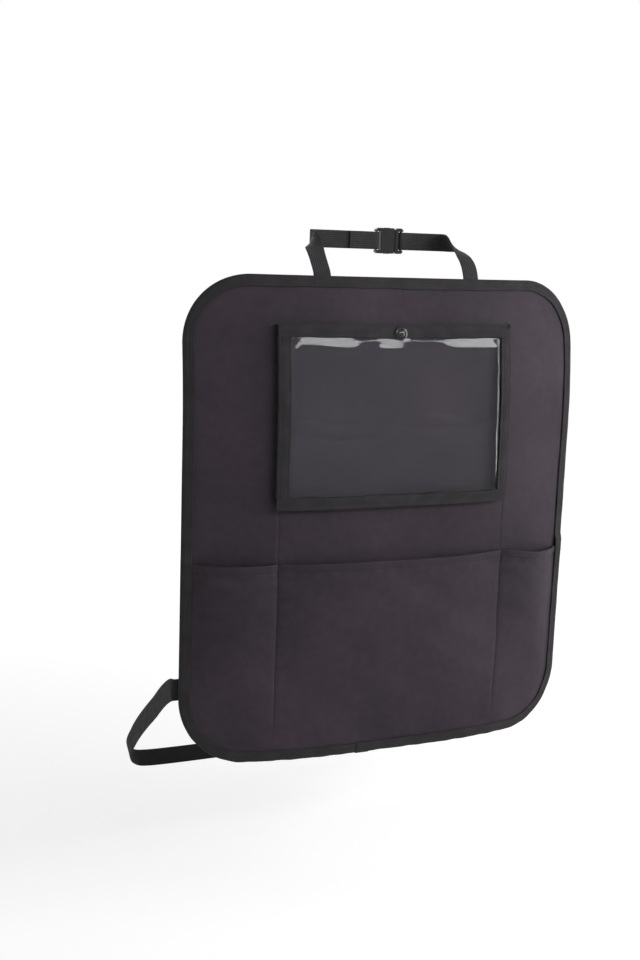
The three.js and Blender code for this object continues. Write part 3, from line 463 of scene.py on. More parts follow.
def skin(rings, length, closed=False, girth=None):
    """A closed body through rings of points: rings[station, point, xyz]."""
    if girth is None:
        loop = np.concatenate([rings, rings[:, :1]], axis=1)
        girth = np.concatenate([[0], np.cumsum(np.linalg.norm(np.diff(loop, axis=1), axis=2).mean(axis=0))])
    rings = np.concatenate([rings, rings[:, :1]], axis=1)
    if closed:
        rings = np.concatenate([rings, rings[:1]], axis=0)
        length = np.append(length, 2 * length[-1] - length[-2])
    stations, points = rings.shape[:2]
    bpy.ops.object.select_all(action="DESELECT")
    bpy.ops.mesh.primitive_grid_add(x_subdivisions=points - 1, y_subdivisions=stations - 1, size=2)
    obj = bpy.context.object
    mesh = obj.data
    mesh.vertices.foreach_set("co", rings.reshape(-1, 3).astype(np.float32).ravel())
    corner = np.zeros(len(mesh.loops), np.int32)
    mesh.loops.foreach_get("vertex_index", corner)
    uv = np.stack([length[corner // points], girth[corner % points]], 1)
    mesh.uv_layers.active.name = "pattern"
    mesh.uv_layers.active.data.foreach_set("uv", uv.astype(np.float32).ravel())
    mesh.update()
    bpy.ops.object.mode_set(mode="EDIT")
    bpy.ops.mesh.select_all(action="SELECT")
    bpy.ops.mesh.remove_doubles(threshold=2e-6)
    if not closed:
        bpy.ops.mesh.fill_holes(sides=0)
    bpy.ops.mesh.select_all(action="SELECT")
    bpy.ops.mesh.normals_make_consistent(inside=False)
    bpy.ops.object.mode_set(mode="OBJECT")
    return obj


# %% Helpers for soft shapes, and the panel's width
def smooth(share):
    """A soft step: zero at 0 and below, one at 1 and above."""
    t = np.clip(share, 0, 1)
    return t * t * (3 - 2 * t)


def hill(distance, width):
    """A rounded bump that is one at its middle and fades over its width."""
    return np.exp(-((distance / width) ** 2))


def half_width(v):
    """Half the panel's width at a height, narrower in its rounded corners."""
    into = np.maximum(np.maximum(PANEL_CORNER - v, v - (PANEL_HEIGHT - PANEL_CORNER)), 0)
    return HALF_WIDTH - PANEL_CORNER + np.sqrt(np.maximum(PANEL_CORNER**2 - into**2, 0))


# %% [markdown]
# ## The back panel
#
# The panel is two layers of cloth round a thin stiffener, so it lies smooth and only
# waves a little. A cloth simulation could drape it, but it would have to be led to the
# seat's shape that is known already. So it is a section, front face up and rear face down,
# carried from one side edge to the other, with shallow waves moved into its points.


# %% Points of the panel: closer together where a seam or an edge needs them
def waves(u, v, seed, size):
    """Smooth unevenness, from a few crossing sine waves; between -1 and 1."""
    rng = np.random.default_rng(seed)
    total = np.zeros(np.broadcast(u, v).shape)
    for _ in range(7):
        angle, phase = rng.uniform(0, math.pi), rng.uniform(0, 2 * math.pi)
        pitch = size * rng.uniform(0.6, 1.7)
        total += np.sin(2 * math.pi * (u * math.cos(angle) + v * math.sin(angle)) / pitch + phase)
    return total / 4.5


def sheet_grid(beside_dividers, rows):
    """Points of a sheet as wide as the panel: steps across (closer at the dividers), u and v."""
    closer = [side * (DIVIDER_U + beside_dividers) / HALF_WIDTH for side in (-1, 1)]
    shares = np.unique(np.concatenate([np.linspace(-1, 1, 131), *closer]).round(5))
    s, v = np.meshgrid(shares, rows, indexing="ij")
    return shares * HALF_WIDTH, s * half_width(v), v


low_rows = 0.5 * MM + np.linspace(0, 8 * MM, 6)
high_rows = PANEL_HEIGHT - np.linspace(0.5, 8, 6) * MM
rows = np.sort(np.concatenate([np.linspace(0, PANEL_HEIGHT, 150), low_rows, high_rows]))
columns, u, v = sheet_grid(np.linspace(-3, 9, 13) * MM, rows)
print("panel grid", u.shape)

# %% Where the panel's cloth is free to wave: not at its edge, the gusset, the snap or the pockets
PANEL_WAVE, PANEL_RIPPLE = 1.3 * MM, 0.4 * MM
EDGE_MARGIN, EDGE_FADE = 11 * MM, 34 * MM
from_edge = np.minimum(half_width(v) - np.abs(u), np.minimum(v, PANEL_HEIGHT - v))
outside_gusset = np.maximum(
    np.abs(u - WINDOW_CENTRE) - WINDOW_HALF - GUSSET_FLARE,
    WINDOW_BOTTOM - GUSSET_FLARE - v,
)
from_snap = np.hypot(u - WINDOW_CENTRE, v - WINDOW_TOP + 7.5 * MM)
loose = smooth((from_edge - EDGE_MARGIN) / EDGE_FADE)
loose = loose * smooth((np.abs(outside_gusset + 3 * MM) - 3.5 * MM) / (20 * MM))
loose = loose * smooth((from_snap - 7 * MM) / (20 * MM))
loose = loose * (0.15 + 0.85 * smooth((v - POCKET_HEIGHT + 12 * MM) / (25 * MM)))
lie = loose * (PANEL_WAVE * waves(u, v, 3, 0.13) + PANEL_RIPPLE * waves(u + 0.5 * v, v, 14, 0.06))
print("panel waves, mm", round(lie.min() / MM, 2), round(lie.max() / MM, 2))

# %% The dividers' seams go on above the pockets, up to the gusset
on_seam = (v > 200 * MM) * smooth((WINDOW_BOTTOM + 4 * MM - v) / (4 * MM))
seam_line = hill(np.abs(u) - DIVIDER_U, 0.9 * MM) * on_seam
seam_side = hill(np.abs(u) - DIVIDER_U - 4 * MM, 3 * MM) * on_seam
front = lie - 0.12 * MM - 0.45 * MM * seam_line + 0.2 * MM * seam_side
rear = np.minimum(-PANEL_THICK + lie, front - 1.0 * MM)
section = np.concatenate([on_seat(u, v, front), on_seat(u, v, rear)[:, ::-1]], axis=1)
round_rows = np.concatenate([rows, 2 * PANEL_HEIGHT - rows[::-1], [2 * PANEL_HEIGHT]])
panel = skin(section, columns, girth=round_rows)
settle(panel, "panel_cloth", CLOTH, ["back_panel"])

# %% [markdown]
# ## The lower pockets
#
# One sheet makes all three pockets: it is caught under the edge binding at its sides and
# foot and sewn down to the panel along two upright dividers. Its top edge is folded over
# to a hem. Empty pockets stand open a little, the cloth sags between the seams, and it
# puckers next to the stitching. The folds could be sculpted, but each one is a soft hill or
# a wave with a place and a size, which can be set to the real one and changed alone. The
# sheet's section runs up its front, over the hem and down inside.

# %% Pocket sheet
POCKET_THICK = 1.2 * MM
HEM_HEIGHT, HEM_THICK, HEM_ROLL = 8 * MM, 1.0 * MM, 1.8 * MM
HEM_BOTTOM = POCKET_HEIGHT - HEM_HEIGHT
SIDE_SEAM_U = HALF_WIDTH - 14 * MM
MIDDLE_GAPE, SIDE_GAPE, MOUTH_DROOP = 11 * MM, 9 * MM, 6.5 * MM
print("pocket mouths stand off, mm", round(SIDE_GAPE / MM, 1), round(MIDDLE_GAPE / MM, 1))


def pocket_gape(u, v):
    """How far the sheet's inner face stands off the panel."""
    middle = np.abs(u) < DIVIDER_U
    centre = np.where(middle, 0, (DIVIDER_U + SIDE_SEAM_U) / 2)
    half = np.where(middle, DIVIDER_U, (SIDE_SEAM_U - DIVIDER_U) / 2)
    across = np.clip(np.abs(np.abs(u) - centre) / half, 0, 1)
    upwards = smooth((v - 14 * MM) / (POCKET_HEIGHT - 14 * MM))
    return np.where(middle, MIDDLE_GAPE, SIDE_GAPE) * (1 - across**2) * upwards


def mouth_sag(u, v):
    """The mouth is no straight line: it droops a little, most in the right pocket."""
    middle = np.abs(u) < DIVIDER_U
    across = np.clip(1 - (np.abs(u) / DIVIDER_U) ** 2, 0, 1)
    droop = MOUTH_DROOP * smooth((u - DIVIDER_U) / (60 * MM))
    return np.where(middle, -0.6 * MM * across, droop) * smooth((v - 120 * MM) / (POCKET_HEIGHT - 120 * MM))


def hem_share(v):
    """One on the hem, where the sheet is double, and zero below it."""
    return smooth((v - (HEM_BOTTOM - 0.6 * MM)) / (1.2 * MM))


# %% Folds of the pocket sheet
def seam_folds(u, v):
    """Next to a divider: the groove of its seam, a soft welt and the puckers of its thread."""
    from_divider = np.abs(np.abs(u) - DIVIDER_U)
    beside = from_divider - 6 * MM
    groove = -0.6 * MM * hill(from_divider, 1.1 * MM)
    welt = 0.30 * MM * hill(beside, 5 * MM) * smooth((v - 20 * MM) / (60 * MM))
    pucker = 0.30 * MM * hill(beside, 6 * MM) * np.sin(2 * math.pi * v / (13 * MM) + 3 * np.sign(u))
    return groove + welt + pucker


def broad_folds(u, v):
    """Shallow folds of the hanging sheet, flatter towards its foot."""
    rise = smooth((v - 10 * MM) / (110 * MM))
    broad = rise * (1.0 * MM + 2.7 * MM * waves(u, v, 5, 0.17))
    return broad + (0.2 + 0.8 * rise) * 0.85 * MM * waves(u + v * 0.6, v, 30, 0.065)


# Where the sheet is pinched under its mouth: place and width in u, and the share of the depth.
HEM_PINCHES = [(-196 * MM, 20 * MM, 1.0), (168 * MM, 14 * MM, 0.6)]


def hem_folds(u, v):
    """Under the mouth: the pinched spots, and the small pull of the hem's seam."""
    pinches = sum(depth * hill(u - place, width) for place, width, depth in HEM_PINCHES)
    pinch = -2.6 * MM * pinches * hill(v - (POCKET_HEIGHT - 15 * MM), 6 * MM)
    return 0.25 * MM * hill(v - (HEM_BOTTOM - 4 * MM), 5 * MM) * np.sin(2 * math.pi * u / (17 * MM)) + pinch


def pocket_relief(u, v):
    """Folds and puckers of the sheet, out of the cloth, and never down through the panel."""
    low = smooth((v - 8 * MM) / (20 * MM))
    foot = 1.3 * MM * hill(v - 26 * MM, 22 * MM) * waves(u + 0.3 * v, v * 0.25, 11, 0.045)
    clear = smooth((half_width(v) - np.abs(u) - 12 * MM) / (18 * MM))
    relief = clear * low * (seam_folds(u, v) + broad_folds(u, v) + hem_folds(u, v))
    relief = relief + clear * foot * smooth((v - 12 * MM) / (8 * MM))
    return np.maximum(relief, -0.8 * MM - 0.7 * np.maximum(pocket_gape(u, v) - 1 * MM, 0))


# %% The pocket sheet's section: up its front, over the hem and down inside
rows = np.concatenate([
    np.linspace(0, 30 * MM, 14)[:-1],
    np.linspace(30 * MM, POCKET_HEIGHT - 22 * MM, 44)[:-1],
    np.linspace(POCKET_HEIGHT - 22 * MM, POCKET_HEIGHT - 1.2 * MM, 20),
])
columns, u, v = sheet_grid(np.linspace(-9, 9, 25) * MM, rows)
sag = mouth_sag(u, v)
gape, relief = pocket_gape(u, v), pocket_relief(u, v)
print("pocket folds, mm", round(relief.min() / MM, 2), round(relief.max() / MM, 2))
stitch_line = hill(v - (HEM_BOTTOM + 1.6 * MM), 0.7 * MM) * 0.3 * MM
rolled = np.clip((v - (POCKET_HEIGHT - 9 * MM)) / (8 * MM), 0, 1) * np.clip(gape / (3 * MM), 0, 1)
back_n = GAP + gape + HEM_ROLL * rolled
front_n = back_n + POCKET_THICK + hem_share(v) * HEM_THICK + relief - stitch_line
front_face = on_seat(u, v - sag, front_n)
rear_face = on_seat(u, v - sag, back_n + np.minimum(relief, 0) * (gape > 1 * MM))
half_thick = (front_n[:, -1:] - back_n[:, -1:]) / 2
turn = np.linspace(0, math.pi, 9)[1:-1]
lip = on_seat(
    u[:, -1:],
    v[:, -1:] - sag[:, -1:] + 1.2 * MM * np.sin(turn),
    back_n[:, -1:] + half_thick + half_thick * np.cos(turn),
)
section = np.concatenate([front_face, lip, rear_face[:, ::-1]], axis=1)
pocket = skin(section, columns)
settle(pocket, "pocket_cloth", CLOTH, ["lower_pocket"])

# %% [markdown]
# ## Folded tape
#
# Binding tape is a ribbed band folded in half over an edge. Its section is a U: a front
# leg, a round fold outside the edge, and a rear leg. The helper thickens a bent line to
# such a section and rounds its ends, and the section is carried round the panel's edge in
# one closed loop. A curve with a bevel profile would do for an even tape. Here each
# station has its own section, so the tape climbs over the pocket's sheet, is pulled in at
# its seams, and wanders by part of a millimetre, as sewn tape does.


# %% Helpers for folded tape: a section from a bent line
def thicken(line, thickness):
    """A closed outline with round ends, on both sides of a bent line: line[..., point, 2]."""
    along = np.gradient(line, axis=-2)
    along /= np.linalg.norm(along, axis=-1, keepdims=True)
    normal = np.stack([-along[..., 1], along[..., 0]], -1) * thickness / 2
    nose = along[..., -1:, :] * thickness / 2
    tail = along[..., :1, :] * thickness / 2
    left, right = line + normal, line - normal
    end = line[..., -1:, :] + nose
    start = line[..., :1, :] - tail
    return np.concatenate([left, end, right[..., ::-1, :], start], axis=-2)


def folded_line(width, front, rear, fold, seams=(), crown=0.2 * MM):
    """The middle line of a tape folded over an edge, as (d, n) for each station.

    Its front leg is pulled in along its seams and swells a little between them."""
    front, rear, width = (np.asarray(a, float)[:, None] for a in (front, rear, width))
    middle, half = (front + rear) / 2, (front - rear) / 2
    leg = np.linspace(0, 1, 22)
    start = fold + half
    d = width + (start - width) * leg
    swell = 0 * d
    if seams:
        swell = crown * np.clip(1 - sum(hill(d - line, 1.1 * MM) for line in seams), -0.4, 1)
    swell = swell * smooth((d - start) / (2 * MM)) * smooth((width - d + 0.8 * MM) / (1.6 * MM))
    down = np.stack([d, front + swell], -1)
    turn = np.linspace(0, math.pi, 11)[1:-1]
    round_fold = np.stack([start - half * np.sin(turn), middle + half * np.cos(turn)], -1)
    back_leg = np.stack([start + (width - start) * leg, rear + 0 * (start * leg)], -1)
    return np.concatenate([down, round_fold, back_leg], axis=1)


# %% Helpers for folded tape: stations round the edge
def along_edge(spacing):
    """Stations round the panel's edge: u, v, and the way inwards, by length."""
    radius = PANEL_CORNER
    w, h = HALF_WIDTH - radius, PANEL_HEIGHT / 2 - radius
    sides = [2 * w, radius * math.pi / 2, 2 * h, radius * math.pi / 2] * 2
    total = sum(sides)
    count = int(total / spacing)
    rows = []
    for i in range(count):
        s = total * i / count
        for k, size in enumerate(sides):
            if s <= size:
                break
            s -= size
        quarter = (k // 2) * math.pi / 2
        if k % 2 == 0:
            angle = quarter - math.pi / 2
            ends = [((-w, -h), (w, -h)), ((w, -h), (w, h)), ((w, h), (-w, h)), ((-w, h), (-w, -h))][k // 2]
            share = s / size
            cx = ends[0][0] + (ends[1][0] - ends[0][0]) * share
            cy = ends[0][1] + (ends[1][1] - ends[0][1]) * share
        else:
            angle = quarter - math.pi / 2 + s / radius
            cx, cy = [(w, -h), (w, h), (-w, h), (-w, -h)][k // 2]
        out = (math.cos(angle), math.sin(angle))
        rows.append((cx + radius * out[0], cy + radius * out[1] + PANEL_HEIGHT / 2, -out[0], -out[1]))
    return np.array(rows), total


def carry(stations, outline):
    """Lays sections (d inwards, n out) at stations of the pattern."""
    u = stations[:, 0:1] + stations[:, 2:3] * outline[..., 0]
    v = stations[:, 1:2] + stations[:, 3:4] * outline[..., 0]
    return on_seat(u, v, outline[..., 1])


# %% Edge binding
BINDING_WIDTH, BINDING_SEAMS = 11 * MM, (8.6 * MM, 5.6 * MM)


def binding_front(v):
    """Height of the binding's underside: over the pocket's sheet it lies higher."""
    on_panel, on_pocket = GAP, 2 * GAP + POCKET_THICK
    on_hem = on_pocket + HEM_THICK
    low = on_pocket + HEM_THICK * smooth((v - (HEM_BOTTOM - 31 * MM)) / (30 * MM))
    high = on_hem - (on_hem - on_panel) * smooth((v - POCKET_HEIGHT) / (10 * MM))
    return np.where(v <= HEM_BOTTOM, low, high)


edge, edge_length = along_edge(2.6 * MM)
turns = np.arange(len(edge)) / len(edge) * 2 * math.pi
wander = 0.35 * MM * (np.sin(9 * turns + 1) + 0.6 * np.sin(23 * turns) + 0.4 * np.sin(41 * turns + 2))
lift = 0.22 * MM * (np.sin(14 * turns) + np.sin(31 * turns + 1))
front = binding_front(edge[:, 1]) + TAPE_THICK / 2 + 0.15 * MM + np.abs(lift)
rear = np.full(len(edge), -(PANEL_THICK + GAP + TAPE_THICK / 2))
pull = 0.22 * MM * hill(edge[:, 1], 40 * MM) * (np.sin(61 * turns) + 0.7 * np.sin(97 * turns + 1))
line = folded_line(BINDING_WIDTH + wander, front, rear, -1.3 * MM, seams=BINDING_SEAMS, crown=0.3 * MM)
line[..., 0] += pull[:, None]
station_length = np.arange(len(edge)) * edge_length / len(edge)
binding = skin(carry(edge, thicken(line, TAPE_THICK)), station_length, closed=True)
settle(binding, "edge_tape", TAPE, ["edge_binding"])
print("binding runs", round(edge_length, 3), "m")

# %% Where the binding's two ends meet, one end is folded over the other
JOINT_START, JOINT_END = -40.5 * MM, -21.5 * MM
joint = edge[(np.abs(edge[:, 1]) < 1e-6) & (edge[:, 0] > JOINT_START) & (edge[:, 0] < JOINT_END)]
count = len(joint)
line = folded_line(
    np.full(count, BINDING_WIDTH + 0.5 * MM),
    binding_front(joint[:, 1]) + TAPE_THICK * 1.5 + 0.4 * MM,
    np.full(count, -(PANEL_THICK + GAP + TAPE_THICK * 1.5 + 0.1 * MM)),
    -2.2 * MM,
)
rings = carry(joint, thicken(line, TAPE_THICK * 0.8))
binding_end = skin(rings, run_of(rings.mean(axis=1)))
settle(binding_end, "edge_tape_end", TAPE)

# %% [markdown]
# ## The clear pocket
#
# A gusset, a wall of tape about a centimetre deep, is sewn to the panel down both sides
# and along the bottom. The clear film closes the front, and four folded tapes bind the
# film's edges. The film is thick soft vinyl: it holds its plane but ripples a little, and
# the snap pulls its top edge in. What one sees of clear film is what it mirrors, so its
# slope matters more than its place: it leans back just under the top tape, where it
# catches the front lamp, and two shallow dents break that band of light.

# %% Sizes of the clear pocket's layers
FRAME_WIDTH, FILM_INSET = 13 * MM, 1.5 * MM
STANDOFF_BOTTOM, STANDOFF_TOP, SNAP_STANDOFF = 12 * MM, 9 * MM, 6.65 * MM
SNAP_V = WINDOW_TOP - FRAME_WIDTH / 2 - 2 * MM
DENT_LEFT, DENT_RIGHT = -46 * MM, 24 * MM
HALF_FOLD = FILM_THICK / 2 + GAP + TAPE_THICK


def film_standoff(u, v):
    """The film's distance from the panel: less at the top, and least at the snap."""
    rise = np.minimum((v - WINDOW_BOTTOM) / (WINDOW_HEIGHT - FRAME_WIDTH), 1)
    near = smooth((60 * MM - np.abs(u - WINDOW_CENTRE)) / (52.4 * MM)) * smooth(2 * rise - 1)
    lean = 2.0 * MM * (1 - smooth((v - WINDOW_BOTTOM) / (15 * MM)))
    return STANDOFF_BOTTOM + (STANDOFF_TOP - STANDOFF_BOTTOM) * rise - (STANDOFF_TOP - SNAP_STANDOFF) * near - lean


print("film at the snap, mm", round(film_standoff(WINDOW_CENTRE, SNAP_V) / MM, 2))


# %% Where each point of the film lies in its frame
columns = np.linspace(WINDOW_LEFT + FILM_INSET, WINDOW_RIGHT - FILM_INSET, 161)
rows = np.linspace(WINDOW_BOTTOM + FILM_INSET, WINDOW_TOP - FILM_INSET, 111)
u, v = np.meshgrid(columns, rows, indexing="ij")
aside = np.abs(u - WINDOW_CENTRE)
below_tape, above_tape = WINDOW_TOP - v - FRAME_WIDTH, v - WINDOW_BOTTOM - FRAME_WIDTH
from_tape = WINDOW_HALF - aside - FRAME_WIDTH
inside = np.minimum(WINDOW_HALF - aside, np.minimum(v - WINDOW_BOTTOM, WINDOW_TOP - v)) - FRAME_WIDTH
print("film grid", u.shape)

# %% Film: it rolls out from under the top tape, with two dents, and swells beside the side tapes
free = smooth(inside / (22 * MM))
ripple = free * (0.9 * MM * waves(u, v * 1.3, 21, 0.13) + 0.20 * MM * waves(u, v * 2.2, 8, 0.05))
slope = 0.092 - 0.024 * smooth((60 * MM - aside) / (52 * MM)) + 0.045 * smooth((u - 15 * MM) / (40 * MM))
fading = 5 * MM * (1 - np.exp(-np.maximum(below_tape - 9 * MM, 0) / (5 * MM)))
roll = slope * (np.clip(below_tape, 0, 9 * MM) + fading) * smooth(above_tape / (120 * MM))
dents = hill(u - DENT_LEFT, 12 * MM) + hill(u - DENT_RIGHT, 17 * MM)
dents = dents * smooth(below_tape / (2 * MM)) * hill(below_tape - 3 * MM, 5 * MM)
gathers = 0.06 * MM * smooth(below_tape / (3 * MM)) * hill(below_tape - 6 * MM, 9 * MM)
gathers = gathers * waves(u, v * 0.35, 4, 0.030)
at_top = (roll + 0.9 * MM * dents + gathers) * smooth(from_tape / (6 * MM))
at_side = smooth(from_tape / (2 * MM)) * hill(from_tape - 4 * MM, 5 * MM)
at_side = at_side * smooth(below_tape / (8 * MM)) * smooth(above_tape / (10 * MM))
at_side = at_side * (0.55 * MM + 0.35 * MM * waves(u * 0.4, v, 9, 0.045))
middle = film_standoff(u, v) + ripple + at_top + at_side
faces = [on_seat(u, v, middle + FILM_THICK / 2), on_seat(u, v, middle - FILM_THICK / 2)[:, ::-1]]
film = skin(np.concatenate(faces, axis=1), columns)
settle(film, "film_window", FILM, ["window_film"])

# %% Tapes round the film
FRAME_SEAMS = (2.6 * MM, 10.6 * MM)


def frame_tape(side, start, end, inwards):
    """A folded tape along one edge of the film, over the solid tape of that side."""
    count = int(math.dist(start, end) / (2.6 * MM)) + 1
    share = np.linspace(0, 1, count)
    stations = np.stack([
        start[0] + (end[0] - start[0]) * share,
        start[1] + (end[1] - start[1]) * share,
        np.full(count, inwards[0]),
        np.full(count, inwards[1]),
    ], 1)
    leg = FILM_THICK / 2 + GAP + TAPE_THICK / 2
    wander = 0.3 * MM * np.sin(share * 19 + start[0] * 40) + 0.2 * MM * np.sin(share * 47)
    line = folded_line(
        FRAME_WIDTH + wander, np.full(count, leg), np.full(count, -leg), FILM_INSET - 2.2 * MM,
        seams=FRAME_SEAMS, crown=0.35 * MM,
    )
    u = stations[:, :1] + stations[:, 2:3] * line[..., 0]
    v = stations[:, 1:2] + stations[:, 3:4] * line[..., 0]
    line = np.stack([line[..., 0], line[..., 1] + film_standoff(u, v)], -1)
    piece = skin(carry(stations, thicken(line, TAPE_THICK)), share * math.dist(start, end))
    return settle(piece, f"film_tape_{side}", TAPE, [f"window_tape_{side}"])


side_low, side_high = WINDOW_BOTTOM + FRAME_WIDTH + 0.4 * MM, WINDOW_TOP - FRAME_WIDTH - 0.4 * MM
film_tapes = [
    frame_tape("top", (WINDOW_LEFT, WINDOW_TOP), (WINDOW_RIGHT, WINDOW_TOP), (0, -1)),
    frame_tape("bottom", (WINDOW_LEFT, WINDOW_BOTTOM), (WINDOW_RIGHT, WINDOW_BOTTOM), (0, 1)),
    frame_tape("left", (WINDOW_LEFT, side_low), (WINDOW_LEFT, side_high), (1, 0)),
    frame_tape("right", (WINDOW_RIGHT, side_low), (WINDOW_RIGHT, side_high), (-1, 0)),
]

# %% Gusset
GUSSET_THICK, GUSSET_FLANGE, GUSSET_CORNER = 0.8 * MM, 6 * MM, 12 * MM


def gusset_stations(spacing):
    """Stations down the left side, round the corner, along the foot and up the right side."""
    half, low = WINDOW_HALF + GUSSET_FLARE, WINDOW_BOTTOM - GUSSET_FLARE
    corner = GUSSET_CORNER + GUSSET_FLARE
    left = []
    for v in np.arange(WINDOW_TOP, low + corner, -spacing):
        left.append((-half, v, 1, 0))
    for angle in np.linspace(0, math.pi / 2, 12)[:-1]:
        c, s = math.cos(angle), math.sin(angle)
        left.append((-half + corner - corner * c, low + corner - corner * s, c, s))
    for u in np.arange(-half + corner, -spacing / 2, spacing):
        left.append((u, low, 0, 1))
    right = [(-u, v, -du, dv) for u, v, du, dv in reversed(left)]
    return np.array(left + [(0, low, 0, 1)] + right) + [WINDOW_CENTRE, 0, 0, 0]


stations = gusset_stations(2.8 * MM)
count = len(stations)
standoff = film_standoff(stations[:, 0], np.maximum(stations[:, 1], WINDOW_BOTTOM))
high = (standoff - HALF_FOLD - GAP - GUSSET_THICK / 2 - 0.1 * MM)[:, None]
foot = GAP + GUSSET_THICK / 2
# The gusset's section: the distance inwards, and the share of the way up to the film.
shape = np.array([
    (GUSSET_FLANGE, 0), (3.0 * MM, 0), (0.7 * MM, 0.01), (0, 0.10), (-0.2 * MM, 0.25), (0.1 * MM, 0.5),
    (0.6 * MM, 0.75), (1.2 * MM, 0.93), (2.6 * MM, 1), (7 * MM, 1), (GUSSET_FLARE + FRAME_WIDTH - 2 * MM, 1),
])
d = np.repeat(shape[None, :, 0], count, 0)
n = foot + (high - foot) * shape[None, :, 1]
length = run_of(stations[:, :2])
crumple = 0.45 * MM * np.sin(length * 2 * math.pi / (21 * MM))[:, None] * hill(shape[None, :, 1] - 0.45, 0.3)
gusset = skin(carry(stations, thicken(np.stack([d + crumple, n], -1), GUSSET_THICK)), length)
settle(gusset, "pocket_gusset", GUSSET_PAINTED_SHADE, ["tablet_gusset"])

# %% [markdown]
# ## The snap
#
# A round snap in the middle of the top tape closes the clear pocket. Its cap is one
# moulded piece with a sloped ring, a groove and a domed middle. It is made as on a lathe:
# a circle is extruded again and again, and each new ring is scaled to its radius. The
# snap's hidden parts keep their solids, which only get the plastic's finish.


# %% Snap pieces
def turned(profile, segments):
    """A closed round body from (radius, height) pairs, as circles extruded upwards."""
    bpy.ops.object.select_all(action="DESELECT")
    first_radius, first_height = profile[0]
    bpy.ops.mesh.primitive_circle_add(
        vertices=segments, radius=first_radius, fill_type="NGON", location=(0, 0, first_height)
    )
    obj = bpy.context.object
    bpy.ops.object.transform_apply(location=True)
    bpy.ops.object.mode_set(mode="EDIT")
    bpy.ops.mesh.select_all(action="SELECT")
    for (r0, h0), (r1, h1) in zip(profile, profile[1:]):
        bpy.ops.mesh.extrude_region_move(TRANSFORM_OT_translate={"value": (0, 0, h1 - h0)})
        scale = r1 / r0
        bpy.ops.transform.resize(value=(scale, scale, 1), center_override=(0, 0, h1))
    bpy.ops.mesh.select_all(action="SELECT")
    bpy.ops.mesh.normals_make_consistent(inside=False)
    bpy.ops.object.mode_set(mode="OBJECT")
    return obj


def at_snap(obj):
    """Moves a turned piece from its lathe to the snap's place, square to the cloth."""
    foot, tip = (Vector(on_seat(WINDOW_CENTRE, SNAP_V, n).tolist()) for n in (0.0, 0.001))
    turn = Vector((0, 0, 1)).rotation_difference(tip - foot).to_matrix().to_4x4()
    obj.data.transform(Matrix.Translation(foot) @ turn)
    return obj


def keep_solid(node, look):
    """A solid that stays as it is, and only gets its finish."""
    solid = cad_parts[node]
    solid.data.materials.clear()
    solid.data.materials.append(look)
    print(node, "keeps its solid")


# %% Snap cap: radius and height of each ring, in millimetres
CAP_PROFILE = [
    (7.2, 0.0), (7.6, 0.3), (7.65, 0.9), (7.45, 1.25), (6.7, 1.55), (5.9, 1.80), (5.5, 1.85),
    (5.2, 1.65), (5.0, 1.35), (4.8, 1.25), (4.6, 1.35), (4.4, 1.65), (3.9, 1.90), (3.0, 2.20),
    (2.0, 2.42), (1.0, 2.54), (0.3, 2.56),
]
cap_base = SNAP_STANDOFF + HALF_FOLD + GAP
cap = turned([(r * MM, cap_base + h * MM) for r, h in CAP_PROFILE], 64)
settle(at_snap(cap), "snap_cap_ring", PLASTIC, ["snap_cap"], angle=35)
for node in ("snap_socket", "snap_stud", "snap_back_cap"):
    keep_solid(node, PLASTIC)

# %% [markdown]
# ## Straps
#
# A strap is webbing with eight or ten ribs along it, a section carried along a smooth
# curve. The curve's points come from the places that the strap touches: its sewn end, the
# headrest post or the seat's corner, and the buckle's bar, which it wraps before it is
# sewn back on itself. Between them the width turns slowly, so the strap twists as real
# webbing does. A bevelled curve with tilt could give the twist too, but not its ribs in
# metres on the UV map.


# %% The strap helpers: a curve
def smooth_curve(points, step):
    """A Catmull-Rom curve through points, spaced by the root of their distance."""
    points = np.array(points, float)
    padded = np.vstack([2 * points[0] - points[1], points, 2 * points[-1] - points[-2]])
    places, knots = [], []
    for i in range(len(points) - 1):
        a, b, c, d = padded[i : i + 4]
        ta, tb, tc = (max(np.linalg.norm(q - p), 1e-9) ** 0.5 for p, q in ((a, b), (b, c), (c, d)))
        slope_b = ((b - a) / ta - (c - a) / (ta + tb) + (c - b) / tb) * tb
        slope_c = ((c - b) / tb - (d - b) / (tb + tc) + (d - c) / tc) * tb
        pieces = max(2, round(np.linalg.norm(c - b) / step))
        for k in range(pieces):
            t = k / pieces
            places.append(
                b + slope_b * t + (-3 * b + 3 * c - 2 * slope_b - slope_c) * t**2
                + (2 * b - 2 * c + slope_b + slope_c) * t**3
            )
            knots.append(i + t)
    places.append(points[-1])
    knots.append(len(points) - 1.0)
    return np.array(places), np.array(knots)


# %% The strap helpers: the sections along a curve
def strap_rings(points, wides, width, thick, step=2 * MM, ribs_across=8):
    """Ribbed sections along a strap; wides says which way its width lies at each point."""
    places, knots = smooth_curve(points, step)
    along = np.gradient(places, axis=0)
    along /= np.linalg.norm(along, axis=1, keepdims=True)
    wides = np.array(wides, float)
    index = np.minimum(knots.astype(int), len(wides) - 2)
    share = (knots - index)[:, None]
    wide = wides[index] * (1 - share) + wides[index + 1] * share
    wide -= along * (wide * along).sum(1, keepdims=True)
    wide /= np.linalg.norm(wide, axis=1, keepdims=True)
    out = np.cross(along, wide)
    x = np.linspace(-1, 1, ribs_across * 4 + 1)
    rib = 0.80 + 0.20 * np.abs(np.sin(ribs_across * math.pi * (x + 1) / 2)) ** 0.7
    edge_round = np.sqrt(np.maximum(1 - np.abs(x) ** 14, 0.02))
    half = thick / 2 * rib * edge_round
    outline = np.concatenate([np.stack([x, half], 1), np.stack([x, -half], 1)[::-1]])
    rings = (
        places[:, None]
        + wide[:, None] * outline[None, :, :1] * width / 2
        + out[:, None] * outline[None, :, 1:]
    )
    return rings, run_of(places)


